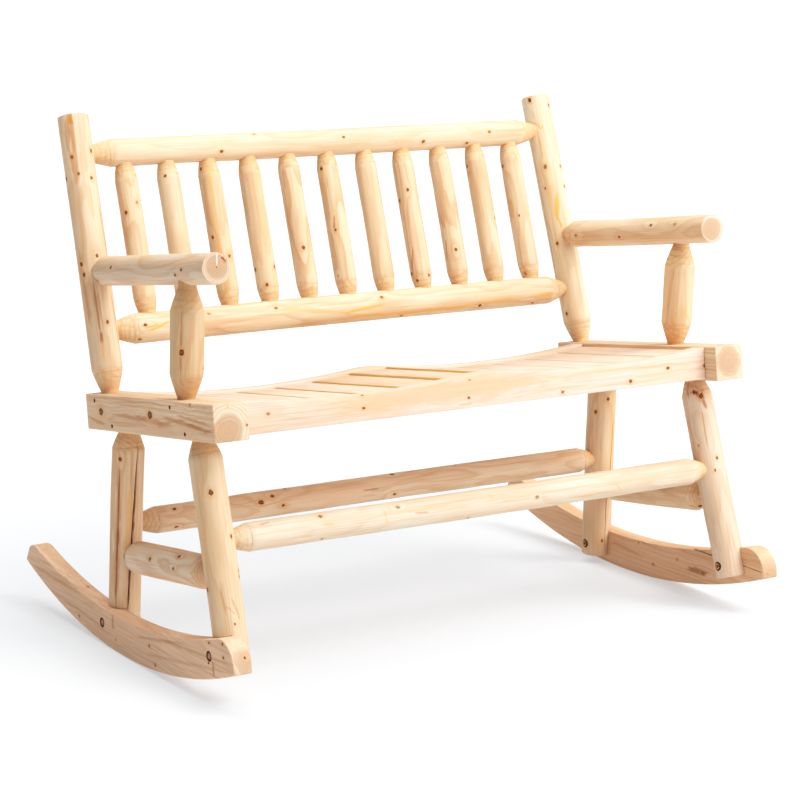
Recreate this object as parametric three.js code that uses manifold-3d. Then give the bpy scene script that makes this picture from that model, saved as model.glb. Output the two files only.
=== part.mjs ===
// Two-seat log rocking bench. Peeled logs joined by round tenons carry a
// slatted seat with two shallow hollows, on two sawn rockers.
import * as THREE from "three";
import { mergeVertices } from "three/addons/utils/BufferGeometryUtils.js";
import Module from "manifold-3d";

const manifold = await Module();
manifold.setup();

// ---------------------------------------------------------------------------
// Driving dimensions, in millimetres and degrees. They are written in the seat
// frame: x runs along the bench, y from front to back, and z up from the top
// faces of the end beams, with 0 in the middle of those faces.
// ---------------------------------------------------------------------------
const clearance = 0.3; // between pieces that touch
const logSides = 20; // facets round a log
const spindleSides = 16;
const boreSides = 12; // facets round a drilled hole
const overshoot = 5; // a cut runs this far past the face it starts from
const rootOverlap = 1; // a squared tenon's block reaches this far into its rail

// End beams: square timbers that carry the seat, the back and the arms.
const beamSection = 70;
const beamLength = 550;
const beamSpan = 1214; // over the beams' outer faces
const beamBevel = 2.5;

// Seat rails: planks between the beams, with a top edge in two hollows.
const railHeight = 65;
const railThickness = 38;
const frontRailSetback = 35; // from the beams' front ends
const rearRailSetback = 58; // from the beams' rear ends
const railTopInset = 1; // below the beams' top faces
const hollowDepth = 15.5;
const hollowCrest = 36; // width of the flat between the hollows
const hollowSteps = 12; // facets in each hollow
const railTenonHeight = 34;
const railTenonThickness = 16;
const railTenonLength = 24;

// Seat slats, laid from front to back between the rails.
const slatWidth = 80;
const slatGap = 8;
const slatThickness = 15;
const slatInset = 6; // below the rails' top edges
const lastSlatWidth = 67; // the slat beside the right-hand beam
const narrowestSlat = 12; // a narrower leftover is left open
const slatEase = 1.5; // bevel along a slat's long top edges

// Ledgers: strips on the rails' inner faces that carry the slats.
const ledgerThickness = 20;
const ledgerFoot = 5; // above the rails' bottom edges

// Legs: logs with a coned tenon at the top and a half lap at the bottom.
const legRadius = 31.8;
const legRake = 10.8; // forward for the front legs, back for the rear legs
const legSplay = 1.2; // outward
const frontLegInset = 119; // of a leg's axis, from the beam's front end
const rearLegInset = 115; // from the beam's rear end
const legLap = 55; // from the rocker's top edge down to the leg's square cut
const legTenonRadius = 20;
const legConeLength = 30;

// Stretchers: logs between the legs.
const sideStretcherRadius = 32;
const sideStretcherHeight = -318;
const longStretcherRadius = 27;
const longStretcherHeight = -257;
const stretcherTenonRadius = 18;
const stretcherConeLength = 28;

// Rockers: planks sawn to two nearly concentric arcs.
const rockerThickness = 38;
const rockerOffset = 18; // of the rocker's inner face, outside the beam's middle
const rockerArcRadius = 1300; // bottom edge
const rockerTopRadius = 1465;
const rockerArcY = -18; // of both arcs' centres
const rockerLowest = -515.5; // lowest height of the bottom arc
const rockerDepth = 75.5; // between the two arcs' lowest points
const rockerFrontY = -322; // foot of the nose
const rockerRearY = 600; // foot of the tail
const rockerNoseRadius = 48;
const rockerTailSlope = 52; // of the sawn tail, from the level
const rockerTailHeight = 33; // of the sawn tail
const rockerTailCorner = 24; // between the sawn tail and the top edge
const rockerFacet = 27; // length of one facet of the bottom edge
const rockerShortestFacet = 5; // of the bottom edge, at its ends
const rockerTopFacets = 20;
const rockerNoseFacets = 7;
const noseSearch = 1e-6; // how closely the nose's arc is fitted
const lapFacets = 24; // along the top edge, where the legs' half laps follow it
const restTilt = 7.2; // the seat leans back when the bench stands still

// Bolts through the rockers and legs.
const boltShankRadius = 4;
const boltDrop = 30; // of the bolts, below the rocker's top edge
const boltHeadFlats = 13;
const boltHeadHeight = 5.3;
const boltEnd = 4; // beyond the nut
const nutHeight = 6.5;
const nutFlangeRadius = 8;
const nutFlangeThickness = 2;
const boreRadius = 9.5;
const boreDepth = 9; // of the recess in the rocker
const nutBoreFace = 24; // from the leg's axis to the floor of the nut's recess
const boltSides = 16;
const flangeSides = 20;

// Back: two posts, two rails and the spindles between them.
const postRadius = 31;
const backLean = 10.8;
const postInset = 41.5; // of a post's axis, from the beam's rear end
const postLength = 557; // above the beams
const postTopInset = 12; // the posts lean in towards each other
const postTenonRadius = 17.5;
const postConeLength = 41;
const topRailRadius = 28;
const topRailAlong = 479; // from the beam, along the post
const bottomRailRadius = 30.5;
const bottomRailAlong = 122;
const backRailTenonRadius = 18;
const backRailConeLength = 36;
const spindleCount = 11;
const spindleMargin = 95.7; // from a post's axis, at the top rail, to the nearest spindle's
const spindleRadius = 23;
const spindleTenonRadius = 15;
const spindleTenonLength = 19;
const spindleConeLength = 26;

// Arms: a log on a short post.
const armRadius = 29;
const armHeight = 239;
const armSetback = 24; // of the arm's front end, from the beam's
const armTenonRadius = 17;
const armConeLength = 27;
const armPostRadius = 31.5;
const armPostInset = 174; // of an arm post's axis, from the beam's front end
const armPostLean = 10.5; // forward
const armPostTenonRadius = 17;
const armPostConeLength = 42;

const tenonDepth = 25; // of a log's tenon in a beam or a log
const shoulderAlong = 0.55; // a cone steepens at this share of its length,
const shoulderRise = 0.7; // where it has this share of its rise
const socketDrill = 1; // a socket is drilled this much past its tenon
const endBevel = 2; // on a log's sawn ends
const pinHoleRadius = 3.6; // recessed pins through the beams' outer faces
const pinHoleDepth = 9;
const upperPinHeight = -12; // pins that hold the posts' tenons
const lowerPinHeight = -59; // pins that hold the legs' tenons

// ---------------------------------------------------------------------------
// Materials
// ---------------------------------------------------------------------------
function wood(colour) {
  return new THREE.MeshStandardMaterial({ color: colour, roughness: 0.72, metalness: 0 });
}
const palette = {
  log: () => wood(0xe2bd88),
  plank: () => wood(0xe9c999),
  slat: () => wood(0xecd0a4),
  steel: () => new THREE.MeshStandardMaterial({ color: 0xa98a4d, roughness: 0.42, metalness: 0.9 }),
};

// ---------------------------------------------------------------------------
// Solids
// ---------------------------------------------------------------------------
const tan = (degrees) => Math.tan(THREE.MathUtils.degToRad(degrees));
const sin = (degrees) => Math.sin(THREE.MathUtils.degToRad(degrees));
const cos = (degrees) => Math.cos(THREE.MathUtils.degToRad(degrees));

// A closed geometry as a solid that can be joined and cut.
function solid(geometry) {
  const bare = new THREE.BufferGeometry();
  const flat = geometry.index ? geometry.toNonIndexed() : geometry;
  bare.setAttribute("position", flat.getAttribute("position"));
  const merged = mergeVertices(bare, 1e-4);
  return new manifold.Manifold(
    new manifold.Mesh({
      numProp: 3,
      vertProperties: merged.attributes.position.array,
      triVerts: new Uint32Array(merged.index.array),
    }),
  );
}

// A solid as a geometry with flat facets.
function facets(body) {
  const mesh = body.getMesh();
  const shared = new THREE.BufferGeometry();
  shared.setAttribute("position", new THREE.BufferAttribute(mesh.vertProperties, 3));
  shared.setIndex(new THREE.BufferAttribute(mesh.triVerts, 1));
  const geometry = shared.toNonIndexed();
  geometry.computeVertexNormals();
  return geometry;
}

// Points at equal steps on a circle arc, from one angle to another, both included.
function arcPoints(centre, radius, fromAngle, toAngle, steps) {
  const points = [];
  for (let step = 0; step <= steps; step += 1) {
    const angle = fromAngle + ((toAngle - fromAngle) * step) / steps;
    points.push(
      new THREE.Vector2(
        centre.x + radius * Math.cos(angle),
        centre.y + radius * Math.sin(angle),
      ),
    );
  }
  return points;
}

// Turns a geometry made round the y axis so that it runs from one point towards another.
function aimed(geometry, from, to) {
  const direction = new THREE.Vector3().subVectors(to, from).normalize();
  const turn = new THREE.Quaternion().setFromUnitVectors(new THREE.Vector3(0, 1, 0), direction);
  return geometry.applyQuaternion(turn).translate(from.x, from.y, from.z);
}

// A point at a distance from one point towards another.
function towards(from, to, distance) {
  const direction = new THREE.Vector3().subVectors(to, from).normalize();
  return from.clone().addScaledVector(direction, distance);
}

// Half of a log's profile from its end: a coned tenon, or a sawn end with a small bevel.
function endProfile(radius, tenon) {
  if (!tenon) {
    return [
      [0, 0],
      [radius - endBevel, 0],
      [radius, endBevel],
    ];
  }
  const rise = radius - tenon.radius;
  return [
    [0, 0],
    [tenon.radius, 0],
    [tenon.radius, tenon.length],
    [tenon.radius + rise * shoulderRise, tenon.length + tenon.cone * shoulderAlong],
    [radius, tenon.length + tenon.cone],
  ];
}

// A round log from one point to another. Its length takes in both tenons.
function log({ from, to, radius, start, end, sides = logSides }) {
  const length = from.distanceTo(to);
  const first = endProfile(radius, start);
  const last = endProfile(radius, end).map(([r, along]) => [r, length - along]);
  const profile = [...first, ...last.reverse()].map(([r, along]) => new THREE.Vector2(r, along));
  return solid(aimed(new THREE.LatheGeometry(profile, sides), from, to));
}

// A drilled hole round the line from one point to another, wide enough for a faceted pin.
function drilled(from, to, radius, sides = boreSides) {
  const roomy = (radius + clearance) / Math.cos(Math.PI / sides);
  const depth = from.distanceTo(to);
  const profile = [
    new THREE.Vector2(0, 0),
    new THREE.Vector2(roomy, 0),
    new THREE.Vector2(roomy, depth),
    new THREE.Vector2(0, depth),
  ];
  return solid(aimed(new THREE.LatheGeometry(profile, sides), from, to));
}

// A box between two corners.
function block(low, high) {
  const size = new THREE.Vector3().subVectors(high, low);
  const middle = new THREE.Vector3().addVectors(low, high).multiplyScalar(0.5);
  const box = new THREE.BoxGeometry(size.x, size.y, size.z);
  return solid(box.translate(middle.x, middle.y, middle.z));
}

// An outline in y and z, extruded along x.
function sideExtrusion(points, fromX, thickness) {
  const shape = new THREE.Shape(points);
  const plank = new THREE.ExtrudeGeometry(shape, { depth: thickness, bevelEnabled: false });
  const upright = new THREE.Matrix4().makeBasis(
    new THREE.Vector3(0, 1, 0),
    new THREE.Vector3(0, 0, 1),
    new THREE.Vector3(1, 0, 0),
  );
  return solid(plank.applyMatrix4(upright).translate(fromX, 0, 0));
}

// An outline in x and z, extruded along y.
function frontExtrusion(points, fromY, thickness) {
  const shape = new THREE.Shape(points);
  const plank = new THREE.ExtrudeGeometry(shape, { depth: thickness, bevelEnabled: false });
  const upright = new THREE.Matrix4().makeBasis(
    new THREE.Vector3(1, 0, 0),
    new THREE.Vector3(0, 0, 1),
    new THREE.Vector3(0, -1, 0),
  );
  return solid(plank.applyMatrix4(upright).translate(0, fromY + thickness, 0));
}

// ---------------------------------------------------------------------------
// Places that several pieces share. side is -1 for the left and 1 for the right.
// ---------------------------------------------------------------------------
const beamX = (beamSpan - beamSection) / 2;
const innerX = beamSpan / 2 - beamSection;
const beamFrontY = -beamLength / 2;
const beamRearY = beamLength / 2;
const legTopY = (end) => (end < 0 ? beamFrontY + frontLegInset : beamRearY - rearLegInset);
const postBaseY = beamRearY - postInset;
const armPostBaseY = beamFrontY + armPostInset;
const sides = [
  ["left", -1],
  ["right", 1],
];
const ends = [
  ["front", -1],
  ["rear", 1],
];

// A leg's axis at a height below the beam.
function legPoint(side, end, height) {
  const drop = -beamSection - height;
  return new THREE.Vector3(
    side * (beamX + drop * tan(legSplay)),
    legTopY(end) + end * drop * tan(legRake),
    height,
  );
}

// The arcs of the rockers' edges, in y and z.
const bottomCentre = new THREE.Vector2(rockerArcY, rockerLowest + rockerArcRadius);
const topCentre = new THREE.Vector2(rockerArcY, rockerLowest + rockerDepth + rockerTopRadius);
const arcHeightAt = (centre, radius, y) => centre.y - Math.sqrt(radius ** 2 - (y - centre.x) ** 2);

// The height where a leg's axis crosses the rocker's top edge.
function lapHeight(end) {
  const start = legPoint(1, end, -beamSection);
  const offset = new THREE.Vector2(start.y - topCentre.x, start.z - topCentre.y);
  const down = new THREE.Vector2(end * tan(legRake), -1);
  const halfB = offset.dot(down);
  const inside = offset.lengthSq() - rockerTopRadius ** 2;
  const drop = (-halfB + Math.sqrt(halfB ** 2 - down.lengthSq() * inside)) / down.lengthSq();
  return -beamSection - drop;
}

// A back post's axis at a distance along it from the beam's top.
function postPoint(side, along) {
  return new THREE.Vector3(
    side * (beamX - (postTopInset * along) / postLength),
    postBaseY + along * sin(backLean),
    along * cos(backLean),
  );
}

// An arm post's axis at a height above the beam.
function armPostPoint(side, height) {
  return new THREE.Vector3(side * beamX, armPostBaseY - height * tan(armPostLean), height);
}

// Where an arm's axis meets its back post's axis.
const armAlong = armHeight / cos(backLean);

// The two seat hollows: how far the seat's line lies below its ends at x.
const hollowSpan = innerX - hollowCrest / 2;
const hollowRadius = (hollowSpan * hollowSpan) / (8 * hollowDepth) + hollowDepth / 2;
function hollowAt(x) {
  const fromMiddle = Math.abs(x) - hollowCrest / 2 - hollowSpan / 2;
  if (Math.abs(fromMiddle) >= hollowSpan / 2) return 0;
  const height = Math.sqrt(hollowRadius ** 2 - fromMiddle ** 2);
  return hollowRadius - hollowDepth - height;
}

// ---------------------------------------------------------------------------
// Seat
// ---------------------------------------------------------------------------
const frontRailY = beamFrontY + frontRailSetback;
const rearRailY = beamRearY - rearRailSetback - railThickness;
const railTop = -railTopInset;
const railBottom = railTop - railHeight;
const railEndX = innerX - clearance;

// The rails' tenon, which also shapes the mortise in the beam.
function railTenon(side, railY, room) {
  const middleY = railY + railThickness / 2;
  const middleZ = (railTop + railBottom) / 2;
  const root = innerX - clearance - rootOverlap;
  const tip = innerX + railTenonLength + room;
  const near = side < 0 ? -tip : root;
  const far = side < 0 ? -root : tip;
  const halfY = railTenonThickness / 2 + room;
  const halfZ = railTenonHeight / 2 + room;
  return block(
    new THREE.Vector3(near, middleY - halfY, middleZ - halfZ),
    new THREE.Vector3(far, middleY + halfY, middleZ + halfZ),
  );
}

// A seat rail: straight below, with the two hollows along its top.
function seatRail(railY) {
  const top = [];
  for (const side of [1, -1]) {
    const xs = Array.from({ length: hollowSteps + 1 }, (_, step) => {
      const share = step / hollowSteps;
      const inward = side > 0 ? 1 - share : share;
      return side * (hollowCrest / 2 + inward * (railEndX - hollowCrest / 2));
    });
    top.push(...xs.map((x) => new THREE.Vector2(x, railTop + hollowAt(x))));
  }
  const outline = [
    new THREE.Vector2(-railEndX, railBottom),
    new THREE.Vector2(railEndX, railBottom),
    ...top,
  ];
  const plank = frontExtrusion(outline, railY, railThickness);
  return plank.add(railTenon(-1, railY, 0)).add(railTenon(1, railY, 0));
}

// The slats' edges along the bench, from the right-hand beam to the left one.
function slatBays() {
  const bays = [];
  let right = innerX - clearance;
  let width = lastSlatWidth;
  while (right + innerX - clearance >= narrowestSlat) {
    const left = Math.max(right - width, -innerX + clearance);
    bays.push([left, right]);
    right = left - slatGap;
    width = slatWidth;
  }
  return bays.reverse();
}
const slatFront = frontRailY + railThickness + clearance;
const slatRear = rearRailY - clearance;
const slatTopAt = (x) => railTop + hollowAt(x) - slatInset;

// A slat lies flat between its two edges' heights on the seat's line.
function slat([left, right]) {
  const ease = Math.min(slatEase, (right - left) / 4);
  const slope = (slatTopAt(right) - slatTopAt(left)) / (right - left);
  const topAt = (x) => slatTopAt(left) + slope * (x - left);
  const outline = [
    new THREE.Vector2(left, topAt(left) - slatThickness),
    new THREE.Vector2(right, topAt(right) - slatThickness),
    new THREE.Vector2(right, topAt(right) - ease),
    new THREE.Vector2(right - ease, topAt(right - ease)),
    new THREE.Vector2(left + ease, topAt(left + ease)),
    new THREE.Vector2(left, topAt(left) - ease),
  ];
  return frontExtrusion(outline, slatFront, slatRear - slatFront);
}

// A ledger: its top edge follows the undersides of the slats that it carries.
function ledger(bays, fromY) {
  const under = bays.flatMap((bay) => bay.map((x) => [x, slatTopAt(x) - slatThickness - clearance]));
  const outline = [
    new THREE.Vector2(-railEndX, railBottom + ledgerFoot),
    new THREE.Vector2(railEndX, railBottom + ledgerFoot),
    ...under.reverse().map(([x, z]) => new THREE.Vector2(x, z)),
  ];
  return frontExtrusion(outline, fromY, ledgerThickness);
}

// ---------------------------------------------------------------------------
// Rockers
// ---------------------------------------------------------------------------
const rockerInnerX = beamX + rockerOffset;
const rockerOuterX = rockerInnerX + rockerThickness;

// The bottom edge's facets: one of them lies flat on the floor at rest.
function rockerBottom() {
  const stepAngle = rockerFacet / rockerArcRadius;
  const restAngle = -Math.PI / 2 + THREE.MathUtils.degToRad(restTilt);
  const angleAt = (y) => -Math.acos((y - rockerArcY) / rockerArcRadius);
  const first = angleAt(rockerFrontY);
  const last = angleAt(rockerRearY);
  const angles = [first];
  const shortest = rockerShortestFacet / rockerArcRadius;
  let corner = restAngle + stepAngle / 2;
  while (corner - stepAngle > first + shortest) corner -= stepAngle;
  for (; corner < last - shortest; corner += stepAngle) angles.push(corner);
  angles.push(last);
  return angles.map(
    (angle) =>
      new THREE.Vector2(
        bottomCentre.x + rockerArcRadius * Math.cos(angle),
        bottomCentre.y + rockerArcRadius * Math.sin(angle),
      ),
  );
}

// The nose: an arc that leaves the top edge along its line and ends at the foot.
function rockerNose(foot) {
  const sweep = (y) => {
    const start = new THREE.Vector2(y, arcHeightAt(topCentre, rockerTopRadius, y));
    const inward = new THREE.Vector2().subVectors(topCentre, start).normalize().negate();
    const centre = start.clone().addScaledVector(inward, rockerNoseRadius);
    return { start, centre, miss: centre.distanceTo(foot) - rockerNoseRadius };
  };
  let near = foot.x;
  let far = foot.x + 2 * rockerNoseRadius;
  while (far - near > noseSearch) {
    const middle = (near + far) / 2;
    if (sweep(middle).miss > 0) far = middle;
    else near = middle;
  }
  const { start, centre } = sweep((near + far) / 2);
  const from = Math.atan2(start.y - centre.y, start.x - centre.x);
  const to = Math.atan2(foot.y - centre.y, foot.x - centre.x);
  return arcPoints(centre, rockerNoseRadius, from, to < from ? to + 2 * Math.PI : to, rockerNoseFacets);
}

// The whole outline of a rocker, from the foot of the nose back along the bottom.
function rockerOutline() {
  const bottom = rockerBottom();
  const foot = bottom[0];
  const heel = bottom[bottom.length - 1];
  const nose = rockerNose(foot);
  const tail = new THREE.Vector2(
    heel.x - rockerTailHeight / tan(rockerTailSlope),
    heel.y + rockerTailHeight,
  );
  const rearAngle = (y) => Math.atan2(
    arcHeightAt(topCentre, rockerTopRadius, y) - topCentre.y,
    y - topCentre.x,
  );
  const topRear = tail.x - rockerTailCorner;
  const top = arcPoints(
    topCentre,
    rockerTopRadius,
    rearAngle(topRear),
    rearAngle(nose[0].x),
    rockerTopFacets,
  );
  return [...bottom, tail, ...top, ...nose.slice(1, -1)];
}

function boltPoint(side, end) {
  return legPoint(side, end, lapHeight(end) - boltDrop);
}

// A round hole along x through everything between two distances from the middle.
function crossHole(side, at, fromX, toX, radius) {
  const from = new THREE.Vector3(side * fromX, at.y, at.z);
  const to = new THREE.Vector3(side * toX, at.y, at.z);
  return drilled(from, to, radius);
}

function rocker(side) {
  const fromX = side < 0 ? -rockerOuterX : rockerInnerX;
  let plank = sideExtrusion(rockerOutline(), fromX, rockerThickness);
  for (const [, end] of ends) {
    const at = boltPoint(side, end);
    plank = plank
      .subtract(crossHole(side, at, rockerInnerX - overshoot, rockerOuterX + overshoot, boltShankRadius))
      .subtract(crossHole(side, at, rockerOuterX - boreDepth, rockerOuterX + overshoot, boreRadius));
  }
  return plank;
}

// A leg's axis at its square cut.
function legFoot(side, end) {
  return legPoint(side, end, lapHeight(end) - legLap);
}

// What the half lap takes out of a leg: all that lies outside the rocker's
// inner face, from the rocker's top edge down.
function lapWaste(side) {
  const reach = legRadius * 3; // clear of the legs on every side
  const front = legFoot(side, -1).y - reach;
  const rear = legFoot(side, 1).y + reach;
  const line = Array.from({ length: lapFacets + 1 }, (_, step) => {
    const y = rear + ((front - rear) * step) / lapFacets;
    return new THREE.Vector2(y, arcHeightAt(topCentre, rockerTopRadius - clearance, y));
  });
  const below = Math.min(legFoot(side, -1).z, legFoot(side, 1).z) - reach;
  const outline = [new THREE.Vector2(front, below), new THREE.Vector2(rear, below), ...line];
  const cheek = rockerInnerX - clearance;
  const fromX = side < 0 ? -cheek - reach : cheek;
  return sideExtrusion(outline, fromX, reach);
}

// ---------------------------------------------------------------------------
// Joints between logs
// ---------------------------------------------------------------------------

// A tenon that starts where the log meets a surface. tilt is the angle between
// the log and the line square to that surface.
function tenonInto(radius, cone, tilt = 0) {
  return { radius, cone, length: tenonDepth + clearance + radius * tan(tilt) };
}

// A log between the axes of two logs, with a tenon in each.
function rail({ from, to, hostRadius, radius, tenonRadius, cone, tilt = 0 }) {
  const tip = hostRadius - tenonDepth;
  const tenon = tenonInto(tenonRadius, cone, tilt);
  return log({
    from: towards(from, to, tip),
    to: towards(to, from, tip),
    radius,
    start: tenon,
    end: tenon,
  });
}

// The socket for such a rail in the log whose axis goes through from.
function socket({ from, to, hostRadius, tenonRadius }) {
  return drilled(
    towards(from, to, hostRadius - tenonDepth - socketDrill),
    towards(from, to, hostRadius + tenonRadius),
    tenonRadius,
  );
}

const sideStretcherLine = (side) => ({
  from: legPoint(side, -1, sideStretcherHeight),
  to: legPoint(side, 1, sideStretcherHeight),
  hostRadius: legRadius,
  radius: sideStretcherRadius,
  tenonRadius: stretcherTenonRadius,
  cone: stretcherConeLength,
  tilt: legRake,
});
const longStretcherLine = (end) => ({
  from: legPoint(-1, end, longStretcherHeight),
  to: legPoint(1, end, longStretcherHeight),
  hostRadius: legRadius,
  radius: longStretcherRadius,
  tenonRadius: stretcherTenonRadius,
  cone: stretcherConeLength,
});
const backRailLine = (along, radius) => ({
  from: postPoint(-1, along),
  to: postPoint(1, along),
  hostRadius: postRadius,
  radius,
  tenonRadius: backRailTenonRadius,
  cone: backRailConeLength,
});
const topRailLine = backRailLine(topRailAlong, topRailRadius);
const bottomRailLine = backRailLine(bottomRailAlong, bottomRailRadius);
const reversed = (line) => ({ ...line, from: line.to, to: line.from });
const fromSide = (line, side) => (side < 0 ? line : reversed(line));

// The way each upright log enters its beam: its axis there, and a point far along it.
const legEntry = (side, end) => [
  legPoint(side, end, -beamSection),
  legFoot(side, end),
];
const postEntry = (side) => [postPoint(side, 0), postPoint(side, postLength)];
const armPostEntry = (side) => [armPostPoint(side, 0), armPostPoint(side, armHeight)];

function entrySocket([surface, away], tenonRadius) {
  return drilled(
    towards(surface, away, -tenonDepth - socketDrill),
    towards(surface, away, tenonRadius),
    tenonRadius,
  );
}

// ---------------------------------------------------------------------------
// Beams, legs, posts, rails, arms
// ---------------------------------------------------------------------------
function endBeam(side) {
  const low = side * beamX - beamSection / 2;
  const high = side * beamX + beamSection / 2;
  const outline = [
    new THREE.Vector2(low + beamBevel, -beamSection),
    new THREE.Vector2(high - beamBevel, -beamSection),
    new THREE.Vector2(high, -beamSection + beamBevel),
    new THREE.Vector2(high, -beamBevel),
    new THREE.Vector2(high - beamBevel, 0),
    new THREE.Vector2(low + beamBevel, 0),
    new THREE.Vector2(low, -beamBevel),
    new THREE.Vector2(low, -beamSection + beamBevel),
  ];
  let beam = frontExtrusion(outline, beamFrontY, beamLength)
    .subtract(entrySocket(postEntry(side), postTenonRadius))
    .subtract(entrySocket(armPostEntry(side), armPostTenonRadius))
    .subtract(railTenon(side, frontRailY, clearance))
    .subtract(railTenon(side, rearRailY, clearance));
  for (const [, end] of ends) {
    beam = beam.subtract(entrySocket(legEntry(side, end), legTenonRadius));
  }
  const pins = [
    [postBaseY, upperPinHeight],
    [armPostBaseY, upperPinHeight],
    [legTopY(-1), lowerPinHeight],
    [legTopY(1), lowerPinHeight],
  ];
  for (const [y, z] of pins) {
    const at = new THREE.Vector3(0, y, z);
    const face = beamSpan / 2;
    beam = beam.subtract(crossHole(side, at, face - pinHoleDepth, face + overshoot, pinHoleRadius));
  }
  return beam;
}

function leg(side, end) {
  const [surface, away] = legEntry(side, end);
  let body = log({
    from: towards(surface, away, -tenonDepth),
    to: away,
    radius: legRadius,
    start: tenonInto(legTenonRadius, legConeLength, legRake),
  });
  const sideLine = sideStretcherLine(side);
  const longLine = longStretcherLine(end);
  const at = boltPoint(side, end);
  const nutFloor = Math.abs(at.x) - nutBoreFace;
  const inside = Math.abs(at.x) - legRadius - overshoot;
  body = body
    .subtract(socket(end < 0 ? sideLine : reversed(sideLine)))
    .subtract(socket(fromSide(longLine, side)))
    .subtract(lapWaste(side))
    .subtract(crossHole(side, at, inside, rockerInnerX + overshoot, boltShankRadius))
    .subtract(crossHole(side, at, inside, nutFloor, boreRadius));
  return body;
}

function backPost(side) {
  const [surface, top] = postEntry(side);
  const armLine = { from: postPoint(side, armAlong), to: armFront(side) };
  return log({
    from: towards(surface, top, -tenonDepth),
    to: top,
    radius: postRadius,
    start: tenonInto(postTenonRadius, postConeLength, backLean),
  })
    .subtract(socket(fromSide(topRailLine, side)))
    .subtract(socket(fromSide(bottomRailLine, side)))
    .subtract(socket({ ...armLine, hostRadius: postRadius, tenonRadius: armTenonRadius }));
}

// A spindle's axis, from the bottom back rail's axis to the top one's.
function spindleLine(number) {
  const lastX = postPoint(1, topRailAlong).x - spindleMargin;
  const x = lastX * ((2 * (number - 1)) / (spindleCount - 1) - 1);
  const from = postPoint(1, bottomRailAlong).setX(x);
  const to = postPoint(1, topRailAlong).setX(x);
  return { from, to };
}

function backRail(line) {
  let body = rail(line);
  for (let number = 1; number <= spindleCount; number += 1) {
    const { from, to } = spindleLine(number);
    const isTop = line === topRailLine;
    const [near, far] = isTop ? [to, from] : [from, to];
    body = body.subtract(
      drilled(
        towards(near, far, line.radius - spindleTenonLength - socketDrill),
        towards(near, far, line.radius + spindleTenonRadius),
        spindleTenonRadius,
      ),
    );
  }
  return body;
}

function spindle(number) {
  const { from, to } = spindleLine(number);
  const tenon = {
    radius: spindleTenonRadius,
    length: spindleTenonLength + clearance,
    cone: spindleConeLength,
  };
  return log({
    from: towards(from, to, bottomRailRadius - spindleTenonLength),
    to: towards(to, from, topRailRadius - spindleTenonLength),
    radius: spindleRadius,
    start: tenon,
    end: tenon,
    sides: spindleSides,
  });
}

function armFront(side) {
  const back = postPoint(side, armAlong);
  return new THREE.Vector3(back.x, beamFrontY + armSetback, back.z);
}

function arm(side) {
  const back = postPoint(side, armAlong);
  const front = armFront(side);
  const [base, high] = armPostEntry(side);
  return log({
    from: towards(back, front, postRadius - tenonDepth),
    to: front,
    radius: armRadius,
    start: tenonInto(armTenonRadius, armConeLength, backLean),
  }).subtract(
    drilled(
      towards(high, base, armRadius - tenonDepth - socketDrill),
      towards(high, base, armRadius + armPostTenonRadius),
      armPostTenonRadius,
    ),
  );
}

function armPost(side) {
  const [base, high] = armPostEntry(side);
  return log({
    from: towards(base, high, -tenonDepth),
    to: towards(high, base, armRadius - tenonDepth),
    radius: armPostRadius,
    start: tenonInto(armPostTenonRadius, armPostConeLength, armPostLean),
    end: tenonInto(armPostTenonRadius, armPostConeLength, armPostLean),
  });
}

// ---------------------------------------------------------------------------
// Bolts and nuts
// ---------------------------------------------------------------------------
function hexagon(flats, from, to) {
  const radius = flats / 2 / Math.cos(Math.PI / 6);
  const height = from.distanceTo(to);
  const prism = new THREE.CylinderGeometry(radius, radius, height, 6).translate(0, height / 2, 0);
  return solid(aimed(prism, from, to));
}

function rod(radius, from, to, rodSides) {
  const height = from.distanceTo(to);
  const body = new THREE.CylinderGeometry(radius, radius, height, rodSides);
  return solid(aimed(body.translate(0, height / 2, 0), from, to));
}

// Distances along x from the middle of the bench, for one bolt.
function boltStations(side, end) {
  const at = boltPoint(side, end);
  const station = (x) => new THREE.Vector3(side * x, at.y, at.z);
  const headSeat = rockerOuterX - boreDepth + clearance;
  const nutSeat = Math.abs(at.x) - nutBoreFace - clearance;
  return { station, headSeat, nutSeat };
}

function rockerBolt(side, end) {
  const { station, headSeat, nutSeat } = boltStations(side, end);
  const tip = nutSeat - nutFlangeThickness - nutHeight - boltEnd;
  const headTop = headSeat + boltHeadHeight;
  return rod(boltShankRadius, station(tip), station(headTop - boltHeadHeight / 2), boltSides).add(
    hexagon(boltHeadFlats, station(headSeat), station(headTop)),
  );
}

function rockerNut(side, end) {
  const { station, nutSeat } = boltStations(side, end);
  const flangeFace = nutSeat - nutFlangeThickness;
  const nutFace = flangeFace - nutHeight;
  return rod(nutFlangeRadius, station(flangeFace), station(nutSeat), flangeSides)
    .add(hexagon(boltHeadFlats, station(nutFace), station(nutSeat - nutFlangeThickness / 2)))
    .subtract(
      drilled(station(nutFace - overshoot), station(nutSeat + overshoot), boltShankRadius),
    );
}

// ---------------------------------------------------------------------------
// Assembly
// ---------------------------------------------------------------------------
const bench = new THREE.Group();

function place(name, body, material) {
  const mesh = new THREE.Mesh(facets(body), material());
  mesh.name = name;
  bench.add(mesh);
}

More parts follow.
